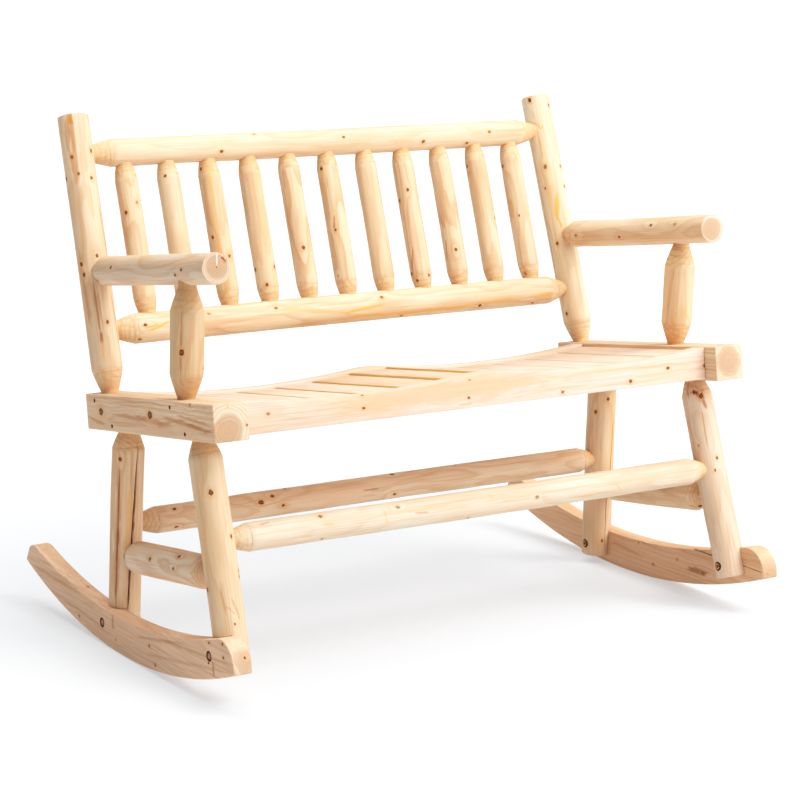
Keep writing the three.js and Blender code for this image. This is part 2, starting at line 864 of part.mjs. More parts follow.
for (const [sideName, side] of sides) {
  place(`${sideName}_rocker`, rocker(side), palette.plank);
  place(`${sideName}_end_beam`, endBeam(side), palette.plank);
  place(`${sideName}_side_stretcher`, rail(sideStretcherLine(side)), palette.log);
  place(`${sideName}_back_post`, backPost(side), palette.log);
  place(`${sideName}_arm`, arm(side), palette.log);
  place(`${sideName}_arm_post`, armPost(side), palette.log);
  for (const [endName, end] of ends) {
    place(`${sideName}_${endName}_leg`, leg(side, end), palette.log);
    place(`${sideName}_${endName}_bolt`, rockerBolt(side, end), palette.steel);
    place(`${sideName}_${endName}_nut`, rockerNut(side, end), palette.steel);
  }
}
for (const [endName, end] of ends) {
  place(`${endName}_stretcher`, rail(longStretcherLine(end)), palette.log);
}
const bays = slatBays();
place("front_seat_rail", seatRail(frontRailY), palette.plank);
place("rear_seat_rail", seatRail(rearRailY), palette.plank);
place("front_ledger", ledger(bays, slatFront), palette.plank);
place("rear_ledger", ledger(bays, slatRear - ledgerThickness), palette.plank);
bays.forEach((bay, index) => {
  place(`seat_slat_${index + 1}`, slat(bay), palette.slat);
});
place("top_back_rail", backRail(topRailLine), palette.log);
place("bottom_back_rail", backRail(bottomRailLine), palette.log);
for (let number = 1; number <= spindleCount; number += 1) {
  place(`back_spindle_${number}`, spindle(number), palette.log);
}

// The seat leans back until the bench balances. The floor is at z = 0, and the
// middle of the bench's depth at y = 0.
bench.rotation.x = -THREE.MathUtils.degToRad(restTilt);
bench.updateMatrixWorld(true);
const reach = new THREE.Box3().setFromObject(bench, true);
bench.position.set(0, -(reach.min.y + reach.max.y) / 2, -reach.min.z);

export default bench;
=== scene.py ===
import random
from math import acos, ceil, cos, hypot, pi, radians, sin, sqrt, tan

import bmesh
import bpy
from mathutils import Matrix, Vector, noise
from mathutils.bvhtree import BVHTree


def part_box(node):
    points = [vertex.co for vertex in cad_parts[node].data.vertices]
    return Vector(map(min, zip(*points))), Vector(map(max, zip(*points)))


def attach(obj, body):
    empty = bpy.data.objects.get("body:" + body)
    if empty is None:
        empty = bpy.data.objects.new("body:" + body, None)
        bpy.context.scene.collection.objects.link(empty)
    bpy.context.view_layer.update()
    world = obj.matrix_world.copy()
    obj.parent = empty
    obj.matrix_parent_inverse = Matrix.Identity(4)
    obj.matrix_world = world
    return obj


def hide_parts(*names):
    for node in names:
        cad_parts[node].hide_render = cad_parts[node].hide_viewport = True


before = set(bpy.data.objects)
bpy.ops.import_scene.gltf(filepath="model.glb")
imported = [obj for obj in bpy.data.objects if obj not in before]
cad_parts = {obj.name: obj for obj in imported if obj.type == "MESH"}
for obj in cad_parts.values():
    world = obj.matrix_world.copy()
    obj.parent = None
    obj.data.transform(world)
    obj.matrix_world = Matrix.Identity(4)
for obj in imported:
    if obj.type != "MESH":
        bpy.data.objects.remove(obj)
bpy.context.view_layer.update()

# A two-seat rocking bench of peeled logs. Lengths below are millimetres in the
# seat frame (x along the bench, y to the back, z up from the end beams' tops),
# and MM turns them into Blender's metres.
MM = 0.001

# ---- Camera: the photograph's view, on an image of 800 by 800 pixels
IMAGE_SIZE = 800
SENSOR_MM = 36.0
FOCAL_PIXELS = 2336.7
CAMERA_PLACE = Vector((-2.46996, -3.98536, 1.35523))
CAMERA_AZIMUTH = radians(31.866)
CAMERA_DROP = radians(11.037)

# ---- Dimensions, as in the part's source
REST_TILT = radians(7.2)
GAP = 0.3
BEAM_SECTION = 70
BEAM_LENGTH = 550
BEAM_SPAN = 1214
BEAM_X = (BEAM_SPAN - BEAM_SECTION) / 2
INNER_X = BEAM_SPAN / 2 - BEAM_SECTION
BEAM_FRONT = -BEAM_LENGTH / 2
BEAM_REAR = BEAM_LENGTH / 2

RAIL_HEIGHT = 65
RAIL_THICKNESS = 38
RAIL_TOP = -1
RAIL_END_X = INNER_X - GAP
FRONT_RAIL_Y = BEAM_FRONT + 35
REAR_RAIL_Y = BEAM_REAR - 58 - RAIL_THICKNESS
HOLLOW_DEPTH = 15.5
HOLLOW_CREST = 36
RAIL_TENON_HEIGHT = 34
RAIL_TENON_THICKNESS = 16
RAIL_TENON_LENGTH = 24

SLAT_WIDTH = 80
SLAT_GAP = 8
SLAT_THICKNESS = 15
SLAT_INSET = 6
LAST_SLAT_WIDTH = 67
NARROWEST_SLAT = 12
SLAT_ROUND = 1.8
# Slats whose left edge stands a little proud of their neighbour's.
PROUD_EDGES = {4: 0.8, 5: 1.3, 6: 2.0, 7: 3.0, 8: 4.4}
LEDGER_THICKNESS = 20
LEDGER_FOOT = 5

LEG_RADIUS = 31.8
LEG_RAKE = radians(10.8)
LEG_SPLAY = radians(1.2)
LEG_TOP_Y = {-1: BEAM_FRONT + 119, 1: BEAM_REAR - 115}
LEG_LAP = 55
LAP_GAP = 0.9
LEG_TENON = 20
LEG_CONE = 30
SIDE_STRETCHER_RADIUS = 32
SIDE_STRETCHER_Z = -318
LONG_STRETCHER_RADIUS = 27
LONG_STRETCHER_Z = -257
STRETCHER_TENON = 18
STRETCHER_CONE = 28

ROCKER_THICKNESS = 38
ROCKER_INNER_X = BEAM_X + 18
ROCKER_OUTER_X = ROCKER_INNER_X + ROCKER_THICKNESS
ROCKER_ARC = 1300
ROCKER_TOP_ARC = 1465
ROCKER_ARC_Y = -18
ROCKER_LOWEST = -515.5
ROCKER_DEPTH = 75.5
ROCKER_FRONT_Y = -322
ROCKER_REAR_Y = 600
ROCKER_NOSE = 48
ROCKER_TAIL_SLOPE = radians(52)
ROCKER_TAIL_HEIGHT = 33
ROCKER_TAIL_CORNER = 24
ROCKER_GRAIN_SLOPE = radians(7.4)
# The nose's arc is kept this far inside its true line, within the solid's facets.
NOSE_INSET = 0.6
# The real arc's lowest point stays on the floor, where the solid's flat facet lies.
FACET_SAG = 0.07
NOSE_STEPS = 16
TAIL_ROUND = 11

BOLT_RADIUS = 4
BOLT_DROP = 30
BOLT_FLATS = 13
BOLT_HEAD = 5.3
BOLT_FLANGE = 3.0
BOLT_END = 1.8
BOLT_CHAMFER = 1.6
HEXAGON_TURN = 0.2
THREAD_PITCH = 1.25
THREAD_DEPTH = 0.55
NUT_HEIGHT = 6.5
NUT_FLANGE_RADIUS = 8
NUT_FLANGE = 2
NUT_LIP = 0.8
BORE_RADIUS = 9.8
BORE_DEPTH = 9
NUT_FLOOR = 24

POST_RADIUS = 31
BACK_LEAN = radians(10.8)
POST_BASE_Y = BEAM_REAR - 41.5
POST_LENGTH = 557
POST_TOP_INSET = 12
POST_TENON = 17.5
POST_CONE = 41
TOP_RAIL_RADIUS = 28
TOP_RAIL_ALONG = 479
BOTTOM_RAIL_RADIUS = 30.5
BOTTOM_RAIL_ALONG = 122
BACK_RAIL_TENON = 18
BACK_RAIL_CONE = 36
SPINDLE_COUNT = 11
SPINDLE_MARGIN = 95.7
SPINDLE_RADIUS = 23
SPINDLE_TENON = 15
SPINDLE_TENON_LENGTH = 19
SPINDLE_CONE = 26
SPINDLE_COLLAR = 2.2
SPINDLE_SWELL = 1.5

ARM_RADIUS = 29
ARM_HEIGHT = 239
ARM_SETBACK = 24
ARM_TENON = 17
ARM_CONE = 27
ARM_POST_RADIUS = 31.5
ARM_POST_BASE_Y = BEAM_FRONT + 174
ARM_POST_LEAN = radians(10.5)
ARM_POST_TENON = 17
ARM_POST_CONE = 42

TENON_DEPTH = 25
PIN_RADIUS = 3.6
PIN_DEPTH = 9
UPPER_PIN_Z = -12
LOWER_PIN_Z = -59

# How finely the pieces are meshed, and how uneven the peeled logs are.
LOG_SIDES = 48
RING_STEP = 9
CONE_RINGS = 9
CONE_DROP = 0.7
SHOULDER_RUN = 1.2
COLLAR_RUN = 5
LOG_UNEVEN = 0.7
UNEVEN_RUN = 30
LOG_BOW = 1.4
FULL_BOW_LENGTH = 600
LOG_ACROSS = Vector((0.37, -0.8, 0.2))
END_ROUND = 2.2
EDGE_ROUND = 2.2
LEDGER_ROUND = 1.0
ROCKER_ROUND = 2.6
HEXAGON_ROUND = 0.25
ARC_STEPS = 40
SHARP_ANGLE = radians(32)
BEVEL_ANGLE = radians(30)
# How far a cutting tool's shape reaches past the face that it cuts.
PAST = 5

SIDES = (("left", -1), ("right", 1))
ENDS = (("front", -1), ("rear", 1))


# ---- Seat frame
def seat_matrix():
    """The seat frame (metres) in the world, from where the left beam lies."""
    low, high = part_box("left_end_beam")
    half = BEAM_LENGTH / 2 * MM
    origin_y = low[1] + half * cos(REST_TILT) + BEAM_SECTION * MM * sin(REST_TILT)
    origin_z = high[2] - half * sin(REST_TILT)
    return Matrix.Translation((0, origin_y, origin_z)) @ Matrix.Rotation(-REST_TILT, 4, "X")


SEAT = seat_matrix()


def point(x, y, z):
    return Vector((x, y, z))


def grain_frame(start, along, across):
    """A frame in the seat frame (mm): z runs along the grain, x roughly across."""
    z_axis = along.normalized()
    y_axis = z_axis.cross(across).normalized()
    x_axis = y_axis.cross(z_axis)
    turn = Matrix((x_axis, y_axis, z_axis)).transposed().to_4x4()
    return Matrix.Translation(start) @ turn


def placed(name, vertices, faces, frame_mm):
    """A mesh object whose own axes are frame_mm; vertices are mm in that frame."""
    mesh = bpy.data.meshes.new(name)
    mesh.from_pydata([tuple(vertex * MM) for vertex in vertices], [], faces)
    piece = bpy.data.objects.new(name, mesh)
    bpy.context.scene.collection.objects.link(piece)
    in_metres = frame_mm.copy()
    in_metres.translation = frame_mm.translation * MM
    piece.matrix_world = SEAT @ in_metres
    soften(mesh)
    return piece


def soften(mesh):
    mesh.shade_smooth()
    mesh.set_sharp_from_angle(angle=SHARP_ANGLE)


def drop(piece):
    mesh = piece.data
    bpy.data.objects.remove(piece)
    bpy.data.meshes.remove(mesh)


def combine(piece, other, operation):
    """Applies a boolean with another closed mesh, and removes that one."""
    bpy.context.view_layer.update()
    modifier = piece.modifiers.new("boolean", "BOOLEAN")
    modifier.operation = operation
    modifier.solver = "EXACT"
    modifier.object = other
    graph = bpy.context.evaluated_depsgraph_get()
    mesh = bpy.data.meshes.new_from_object(piece.evaluated_get(graph))
    piece.modifiers.clear()
    old = piece.data
    piece.data = mesh
    bpy.data.meshes.remove(old)
    drop(other)
    soften(mesh)


def cut(piece, cutter):
    """Takes the cutter's volume out of a piece."""
    combine(piece, cutter, "DIFFERENCE")


def join(piece, other):
    """Unites another piece with a piece."""
    combine(piece, other, "UNION")


def circle(sides):
    """The angles of a circle's corners."""
    return [2 * pi * index / sides for index in range(sides)]


def tube_faces(rings, sides):
    """The faces of a row of rings, with a face at each end."""
    faces = [tuple(range(sides))[::-1]]
    for near in range(0, (rings - 1) * sides, sides):
        far = near + sides
        for index in range(sides):
            after = (index + 1) % sides
            faces.append((near + index, near + after, far + after, far + index))
    faces.append(tuple(range((rings - 1) * sides, rings * sides)))
    return faces


# ---- Places that several pieces share. side is -1 for left, end is -1 for front.
BOTTOM_CENTRE = (ROCKER_ARC_Y, ROCKER_LOWEST + ROCKER_ARC)
TOP_CENTRE = (ROCKER_ARC_Y, ROCKER_LOWEST + ROCKER_DEPTH + ROCKER_TOP_ARC)


def arc_height(centre, radius, y):
    return centre[1] - sqrt(radius**2 - (y - centre[0]) ** 2)


def leg_point(side, end, z):
    fall = -BEAM_SECTION - z
    return point(
        side * (BEAM_X + fall * tan(LEG_SPLAY)),
        LEG_TOP_Y[end] + end * fall * tan(LEG_RAKE),
        z,
    )


def lap_height(end):
    """The height where a leg's axis crosses the rocker's top edge."""
    start = leg_point(1, end, -BEAM_SECTION)
    off_y = start.y - TOP_CENTRE[0]
    off_z = start.z - TOP_CENTRE[1]
    step_y = end * tan(LEG_RAKE)
    half = off_y * step_y - off_z
    inside = off_y**2 + off_z**2 - ROCKER_TOP_ARC**2
    square = step_y**2 + 1
    fall = (-half + sqrt(half**2 - square * inside)) / square
    return -BEAM_SECTION - fall


def leg_foot(side, end):
    return leg_point(side, end, lap_height(end) - LEG_LAP)


def bolt_point(side, end):
    return leg_point(side, end, lap_height(end) - BOLT_DROP)


def post_point(side, along):
    return point(
        side * (BEAM_X - POST_TOP_INSET * along / POST_LENGTH),
        POST_BASE_Y + along * sin(BACK_LEAN),
        along * cos(BACK_LEAN),
    )


def arm_post_point(side, height):
    return point(side * BEAM_X, ARM_POST_BASE_Y - height * tan(ARM_POST_LEAN), height)


ARM_ALONG = ARM_HEIGHT / cos(BACK_LEAN)


def arm_front(side):
    back = post_point(side, ARM_ALONG)
    return point(back.x, BEAM_FRONT + ARM_SETBACK, back.z)


def towards(start, finish, distance):
    return start + (finish - start).normalized() * distance


HOLLOW_SPAN = INNER_X - HOLLOW_CREST / 2
HOLLOW_RADIUS = HOLLOW_SPAN**2 / (8 * HOLLOW_DEPTH) + HOLLOW_DEPTH / 2


def hollow_at(x):
    """How far the seat's line lies below its ends at x."""
    from_middle = abs(x) - HOLLOW_CREST / 2 - HOLLOW_SPAN / 2
    if abs(from_middle) >= HOLLOW_SPAN / 2:
        return 0
    return HOLLOW_RADIUS - HOLLOW_DEPTH - sqrt(HOLLOW_RADIUS**2 - from_middle**2)


# ---- Logs
def cone_profile(radius, tenon):
    """(radius, distance) pairs from a tenon's tip to the cone's shoulder."""
    neck = tenon["radius"] + tenon.get("collar", 0)
    length = tenon["length"]
    inside = length - COLLAR_RUN
    pairs = [(tenon["radius"], 0), (tenon["radius"], inside), (neck, inside + 0.5), (neck, length)]
    rise = radius - neck - CONE_DROP
    for step in range(1, CONE_RINGS + 1):
        share = step / CONE_RINGS
        swell = 1 - (1 - share) ** tenon.get("swell", 1.15)
        pairs.append((neck + rise * swell, length + tenon["cone"] * share))
    return pairs


def sawn_profile(radius):
    return [
        (radius - END_ROUND, 0),
        (radius - END_ROUND * 0.35, END_ROUND * 0.25),
        (radius, END_ROUND),
    ]


def end_profile(radius, tenon):
    return cone_profile(radius, tenon) if tenon else sawn_profile(radius)


def log_profile(length, radius, low, high):
    first = end_profile(radius, low)
    last = [(r, length - along) for r, along in end_profile(radius, high)]
    start = first[-1][1] + SHOULDER_RUN
    finish = last[-1][1] - SHOULDER_RUN
    count = max(2, ceil((finish - start) / RING_STEP))
    body = [(radius, start + (finish - start) * step / count) for step in range(count + 1)]
    return first + body + last[::-1], start, finish


def uneven(angle, along, seed, radius):
    """How far a peeled log stands off its round shape, from -1 to 1 or so."""
    around = Vector((cos(angle), sin(angle), along / (radius * 5)))
    slow = noise.noise(around * 1.1 + seed)
    quick = noise.noise(around * Vector((2.6, 2.6, 4.0)) + seed)
    return slow + 0.45 * quick


def log_piece(node, start, finish, radius, low=None, high=None):
    """A peeled log between two points, with a cone and tenon or a sawn end."""
    length = (finish - start).length
    profile, body_start, body_end = log_profile(length, radius, low, high)
    rng = random.Random(node)
    seed = Vector([rng.uniform(0, 90) for _ in range(3)])
    bow_angle = rng.uniform(0, 2 * pi)
    bow = rng.uniform(0.3, 1) * LOG_BOW * min(1, length / FULL_BOW_LENGTH)
    vertices = []
    for ring_radius, along in profile:
        inside = min(along - body_start, body_end - along)
        window = min(1, max(0, inside) / UNEVEN_RUN)
        lean = bow * sin(pi * along / length) ** 2
        for angle in circle(LOG_SIDES):
            reach = ring_radius + LOG_UNEVEN * window * uneven(angle, along, seed, radius)
            x = reach * cos(angle) + lean * cos(bow_angle)
            y = reach * sin(angle) + lean * sin(bow_angle)
            vertices.append(point(x, y, along))
    own = grain_frame(start, finish - start, LOG_ACROSS)
    piece = placed(node + "_log", vertices, tube_faces(len(profile), LOG_SIDES), own)
    # Where the cones begin, for the material; a sawn end has its own out of reach.
    piece["cone_low"] = (low["length"] + low["cone"]) * MM if low else -1.0
    piece["cone_high"] = (length - high["length"] - high["cone"]) * MM if high else 99.0
    piece["cone_length"] = (low or high)["cone"] * MM
    piece["radius"] = radius * MM
    return piece


def tenon(radius, cone, tilt=0.0):
    return {"radius": radius, "cone": cone, "length": TENON_DEPTH + GAP + radius * tan(tilt)}


def rail_log(node, first, last, host_radius, radius, tenon_radius, cone, tilt=0.0):
    """A log between the axes of two logs, with a tenon in each."""
    tip = host_radius - TENON_DEPTH
    both = tenon(tenon_radius, cone, tilt)
    return log_piece(
        node, towards(first, last, tip), towards(last, first, tip), radius, both, both
    )


def make_leg(node, side, end):
    surface = leg_point(side, end, -BEAM_SECTION)
    foot = leg_foot(side, end)
    top = towards(surface, foot, -TENON_DEPTH)
    piece = log_piece(node, top, foot, LEG_RADIUS, tenon(LEG_TENON, LEG_CONE, LEG_RAKE))
    cut(piece, lap_waste(side))
    at = bolt_point(side, end)
    floor = side * (abs(at.x) - NUT_FLOOR)
    inside = side * (abs(at.x) - LEG_RADIUS - PAST)
    cut(piece, cross_rod(at, inside, floor, BORE_RADIUS))
    return piece


def lap_waste(side):
    """All that lies outside the rocker's inner face, below its top edge."""
    reach = LEG_RADIUS * 3
    front = leg_foot(side, -1).y - reach
    rear = leg_foot(side, 1).y + reach
    bottom = leg_foot(side, 1).z - 2 * reach
    line = [(front, bottom), (rear, bottom)]
    for step in range(ARC_STEPS + 1):
        y = rear + (front - rear) * step / ARC_STEPS
        line.append((y, arc_height(TOP_CENTRE, ROCKER_TOP_ARC - LAP_GAP, y)))
    cheek = side * (ROCKER_INNER_X - GAP)
    far = side * (ROCKER_INNER_X + reach)
    return prism("lap_waste", line, min(cheek, far), max(cheek, far))


def make_posts_and_arms(side_name, side):
    surface = post_point(side, 0)
    top = post_point(side, POST_LENGTH)
    low = tenon(POST_TENON, POST_CONE, BACK_LEAN)
    made = {}
    name = f"{side_name}_back_post"
    made[name] = log_piece(name, towards(surface, top, -TENON_DEPTH), top, POST_RADIUS, low)
    back = post_point(side, ARM_ALONG)
    front = arm_front(side)
    name = f"{side_name}_arm"
    start = towards(back, front, POST_RADIUS - TENON_DEPTH)
    made[name] = log_piece(name, start, front, ARM_RADIUS, tenon(ARM_TENON, ARM_CONE, BACK_LEAN))
    base = arm_post_point(side, 0)
    high = arm_post_point(side, ARM_HEIGHT)
    both = tenon(ARM_POST_TENON, ARM_POST_CONE, ARM_POST_LEAN)
    name = f"{side_name}_arm_post"
    start = towards(base, high, -TENON_DEPTH)
    finish = towards(high, base, ARM_RADIUS - TENON_DEPTH)
    made[name] = log_piece(name, start, finish, ARM_POST_RADIUS, both, both)
    return made


def make_stretchers():
    made = {}
    ends = (STRETCHER_TENON, STRETCHER_CONE)
    for side_name, side in SIDES:
        name = f"{side_name}_side_stretcher"
        front, rear = (leg_point(side, end, SIDE_STRETCHER_Z) for _, end in ENDS)
        made[name] = rail_log(name, front, rear, LEG_RADIUS, SIDE_STRETCHER_RADIUS, *ends, LEG_RAKE)
    for end_name, end in ENDS:
        name = f"{end_name}_stretcher"
        left, right = (leg_point(side, end, LONG_STRETCHER_Z) for _, side in SIDES)
        made[name] = rail_log(name, left, right, LEG_RADIUS, LONG_STRETCHER_RADIUS, *ends)
    return made


def make_back():
    made = {}
    for name, along, radius in (
        ("top_back_rail", TOP_RAIL_ALONG, TOP_RAIL_RADIUS),
        ("bottom_back_rail", BOTTOM_RAIL_ALONG, BOTTOM_RAIL_RADIUS),
    ):
        left, right = (post_point(side, along) for _, side in SIDES)
        ends = (BACK_RAIL_TENON, BACK_RAIL_CONE)
        made[name] = rail_log(name, left, right, POST_RADIUS, radius, *ends)
    made.update(make_spindles())
    return made


def make_spindles():
    """The back's spindles, with a collar between each tenon and its cone."""
    made = {}
    both = {
        "radius": SPINDLE_TENON, "length": SPINDLE_TENON_LENGTH + GAP, "cone": SPINDLE_CONE,
        "collar": SPINDLE_COLLAR, "swell": SPINDLE_SWELL,
    }
    low = post_point(1, BOTTOM_RAIL_ALONG)
    high = post_point(1, TOP_RAIL_ALONG)
    last_x = high.x - SPINDLE_MARGIN
    for number in range(1, SPINDLE_COUNT + 1):
        low.x = high.x = last_x * (2 * (number - 1) / (SPINDLE_COUNT - 1) - 1)
        start = towards(low, high, BOTTOM_RAIL_RADIUS - SPINDLE_TENON_LENGTH)
        finish = towards(high, low, TOP_RAIL_RADIUS - SPINDLE_TENON_LENGTH)
        name = f"back_spindle_{number}"
        made[name] = log_piece(name, start, finish, SPINDLE_RADIUS, both, both)
    return made


# ---- Planks
def prism(name, outline, low, high, axis="x", own=None, edge=0.0):
    """An outline extruded along an axis: (y, z) along x, (x, z) along y."""
    if axis == "x":
        near = [point(low, a, b) for a, b in outline]
        far = [point(high, a, b) for a, b in outline]
    else:
        near = [point(a, low, b) for a, b in outline]
        far = [point(a, high, b) for a, b in outline]
    own = own or Matrix.Identity(4)
    inverse = own.inverted()
    vertices = [inverse @ corner for corner in near + far]
    count = len(outline)
    faces = [tuple(range(count)), tuple(range(2 * count - 1, count - 1, -1))]
    for index in range(count):
        after = (index + 1) % count
        faces.append((index, index + count, after + count, after))
    piece = placed(name, vertices, faces, own)
    tidy_solid(piece.data, edge)
    return piece


def tidy_solid(mesh, edge):
    """Turns the faces outward and rounds the sharp edges."""
    body = bmesh.new()
    body.from_mesh(mesh)
    bmesh.ops.recalc_face_normals(body, faces=body.faces)
    if edge:
        sharp = [line for line in body.edges if line.calc_face_angle(0) > BEVEL_ANGLE]
        bmesh.ops.bevel(
            body, geom=sharp, offset=edge * MM, segments=3, profile=0.5, affect="EDGES"
        )
    body.to_mesh(mesh)
    body.free()
    soften(mesh)


def cross_rod(at, from_x, to_x, radius, sides=32):
    """A round bar along x at a point's y and z, for cutting a hole."""
    outline = [(at.y + radius * cos(a), at.z + radius * sin(a)) for a in circle(sides)]
    return prism("bar", outline, min(from_x, to_x), max(from_x, to_x))


def pin_places():
    """(y, z) of the pins' holes in a beam's outer face."""
    return (
        (POST_BASE_Y, UPPER_PIN_Z),
        (ARM_POST_BASE_Y, UPPER_PIN_Z),
        (LEG_TOP_Y[-1], LOWER_PIN_Z),
        (LEG_TOP_Y[1], LOWER_PIN_Z),
    )


def make_beam(side_name, side):
    low = side * BEAM_X - BEAM_SECTION / 2
    high = side * BEAM_X + BEAM_SECTION / 2
    outline = box_outline(low, high, -BEAM_SECTION, 0)
    own = grain_frame(point(side * BEAM_X, 0, -BEAM_SECTION / 2), point(0, 1, 0), point(1, 0, 0))
    name = f"{side_name}_end_beam"
    piece = prism(name + "_board", outline, BEAM_FRONT, BEAM_REAR, "y", own, EDGE_ROUND)
    face = side * BEAM_SPAN / 2
    floor = side * (BEAM_SPAN / 2 - PIN_DEPTH)
    for y, z in pin_places():
        cut(piece, cross_rod(point(0, y, z), floor, face + side * PAST, PIN_RADIUS, 16))
    return {name: piece}


def make_rail(name, y):
    """A seat rail: straight below, two hollows above, a stub tenon at each end."""
    bottom = RAIL_TOP - RAIL_HEIGHT
    middle = (RAIL_TOP + bottom) / 2
    top = []
    steps = 2 * ARC_STEPS
    for step in range(steps + 1):
        x = RAIL_END_X * (1 - 2 * step / steps)
        top.append((x, RAIL_TOP + hollow_at(x)))
    outline = [(-RAIL_END_X, bottom), (RAIL_END_X, bottom)] + top
    own = grain_frame(point(0, y + RAIL_THICKNESS / 2, middle), point(1, 0, 0), point(0, 1, 0))
    piece = prism(name + "_board", outline, y, y + RAIL_THICKNESS, "y", own, EDGE_ROUND)
    low = y + (RAIL_THICKNESS - RAIL_TENON_THICKNESS) / 2
    half = RAIL_TENON_HEIGHT / 2
    for _, side in SIDES:
        near, far = sorted((side * (RAIL_END_X - 1), side * (INNER_X + RAIL_TENON_LENGTH)))
        stub = box_outline(near, far, middle - half, middle + half)
        join(piece, prism("stub", stub, low, low + RAIL_TENON_THICKNESS, "y", own))
    return {name: piece}


def box_outline(left, right, bottom, top):
    return [(left, bottom), (right, bottom), (right, top), (left, top)]


def slat_bays():
    """The slats' edges along the bench, from the left-hand beam to the right."""
    bays = []
    right = INNER_X - GAP
    width = LAST_SLAT_WIDTH
    while right + INNER_X - GAP >= NARROWEST_SLAT:
        left = max(right - width, -INNER_X + GAP)
        bays.append((left, right))
        right = left - SLAT_GAP
        width = SLAT_WIDTH
    return bays[::-1]


def slat_top(x):
    return RAIL_TOP + hollow_at(x) - SLAT_INSET


SLAT_FRONT = FRONT_RAIL_Y + RAIL_THICKNESS + GAP
SLAT_REAR = REAR_RAIL_Y - GAP


def make_slats():
    made = {}
    for number, (left, right) in enumerate(slat_bays(), 1):
        outline = [
            (left, slat_top(left) - SLAT_THICKNESS),
            (right, slat_top(right) - SLAT_THICKNESS),
            (right, slat_top(right)),
            (left, slat_top(left) + PROUD_EDGES.get(number, 0)),
        ]
        middle = (left + right) / 2
        centre = point(middle, 0, slat_top(middle) - SLAT_THICKNESS / 2)
        own = grain_frame(centre, point(0, 1, 0), point(1, 0, 0))
        name = f"seat_slat_{number}"
        piece = prism(name + "_board", outline, SLAT_FRONT, SLAT_REAR, "y", own, SLAT_ROUND)
        made[name] = piece
    return made


def make_ledger(name, y):
    under = []
    for bay in slat_bays():
        for x in bay:
            under.append((x, slat_top(x) - SLAT_THICKNESS - GAP))
    foot = RAIL_TOP - RAIL_HEIGHT + LEDGER_FOOT
    outline = [(-RAIL_END_X, foot), (RAIL_END_X, foot)] + under[::-1]
    own = grain_frame(point(0, y, foot), point(1, 0, 0), point(0, 1, 0))
    return {name: prism(name + "_board", outline, y, y + LEDGER_THICKNESS, "y", own, LEDGER_ROUND)}


def nose_arc(foot):
    """The nose leaves the top edge along its line and ends at the foot."""
    near = foot[0]
    far = foot[0] + 2 * ROCKER_NOSE
    while far - near > 1e-6:
        y = (near + far) / 2
        start, centre = nose_start(y)
        if hypot(centre[0] - foot[0], centre[1] - foot[1]) > ROCKER_NOSE:
            far = y
        else:
            near = y
    start, centre = nose_start(near)
    from_angle = angle_from(centre, start)
    to_angle = angle_from(centre, foot)
    if to_angle < from_angle:
        to_angle += 2 * pi
    line = []
    for step in range(NOSE_STEPS + 1):
        share = step / NOSE_STEPS
        angle = from_angle + (to_angle - from_angle) * share
        # The inset fades out at both ends, sooner at the foot.
        reach = ROCKER_NOSE - NOSE_INSET * min(1, 4 * share, 12 * (1 - share))
        line.append((centre[0] + reach * cos(angle), centre[1] + reach * sin(angle)))
    return line


def angle_from(centre, spot):
    """The angle of the line from one (y, z) to another."""
    return Vector((spot[0] - centre[0], spot[1] - centre[1])).angle_signed(Vector((1, 0)))


def nose_start(y):
    z = arc_height(TOP_CENTRE, ROCKER_TOP_ARC, y)
    down = Vector((y - TOP_CENTRE[0], z - TOP_CENTRE[1])).normalized()
    centre = (y + down.x * ROCKER_NOSE, z + down.y * ROCKER_NOSE)
    return (y, z), centre


def rocker_outline():
    """From the foot of the nose back along the bottom, and forward along the top."""
    steps = 2 * ARC_STEPS
    first = -acos((ROCKER_FRONT_Y - ROCKER_ARC_Y) / ROCKER_ARC)
    last = -acos((ROCKER_REAR_Y - ROCKER_ARC_Y) / ROCKER_ARC)
    radius = ROCKER_ARC - FACET_SAG
    bottom = []
    for step in range(steps + 1):
        angle = first + (last - first) * step / steps
        y = BOTTOM_CENTRE[0] + radius * cos(angle)
        bottom.append((y, BOTTOM_CENTRE[1] + radius * sin(angle)))
    heel = bottom[-1]
    tail = (heel[0] - ROCKER_TAIL_HEIGHT / tan(ROCKER_TAIL_SLOPE), heel[1] + ROCKER_TAIL_HEIGHT)
    nose = nose_arc(bottom[0])
    rear_y = tail[0] - ROCKER_TAIL_CORNER
    top = []
    for step in range(steps + 1):
        y = rear_y + (nose[0][0] - rear_y) * step / steps
        top.append((y, arc_height(TOP_CENTRE, ROCKER_TOP_ARC, y)))
    # The curve at the top corner ends on the arc, between its second and third points.
    back = rounded(heel, tail, top[0], TAIL_ROUND) + rounded(tail, top[0], top[2], TAIL_ROUND)
    return bottom + back + top[2:] + nose[1:-1]


def rounded(before, corner, after, cut_back, steps=5):
    """The corner of an outline as a curve that leaves its edges cut_back from it."""
    corner = Vector(corner)
    start = towards(corner, Vector(before), cut_back)
    finish = towards(corner, Vector(after), cut_back)
    line = []
    for step in range(steps + 1):
        share = step / steps
        spot = start * (1 - share) ** 2 + corner * 2 * share * (1 - share) + finish * share**2
        line.append((spot.x, spot.y))
    return line


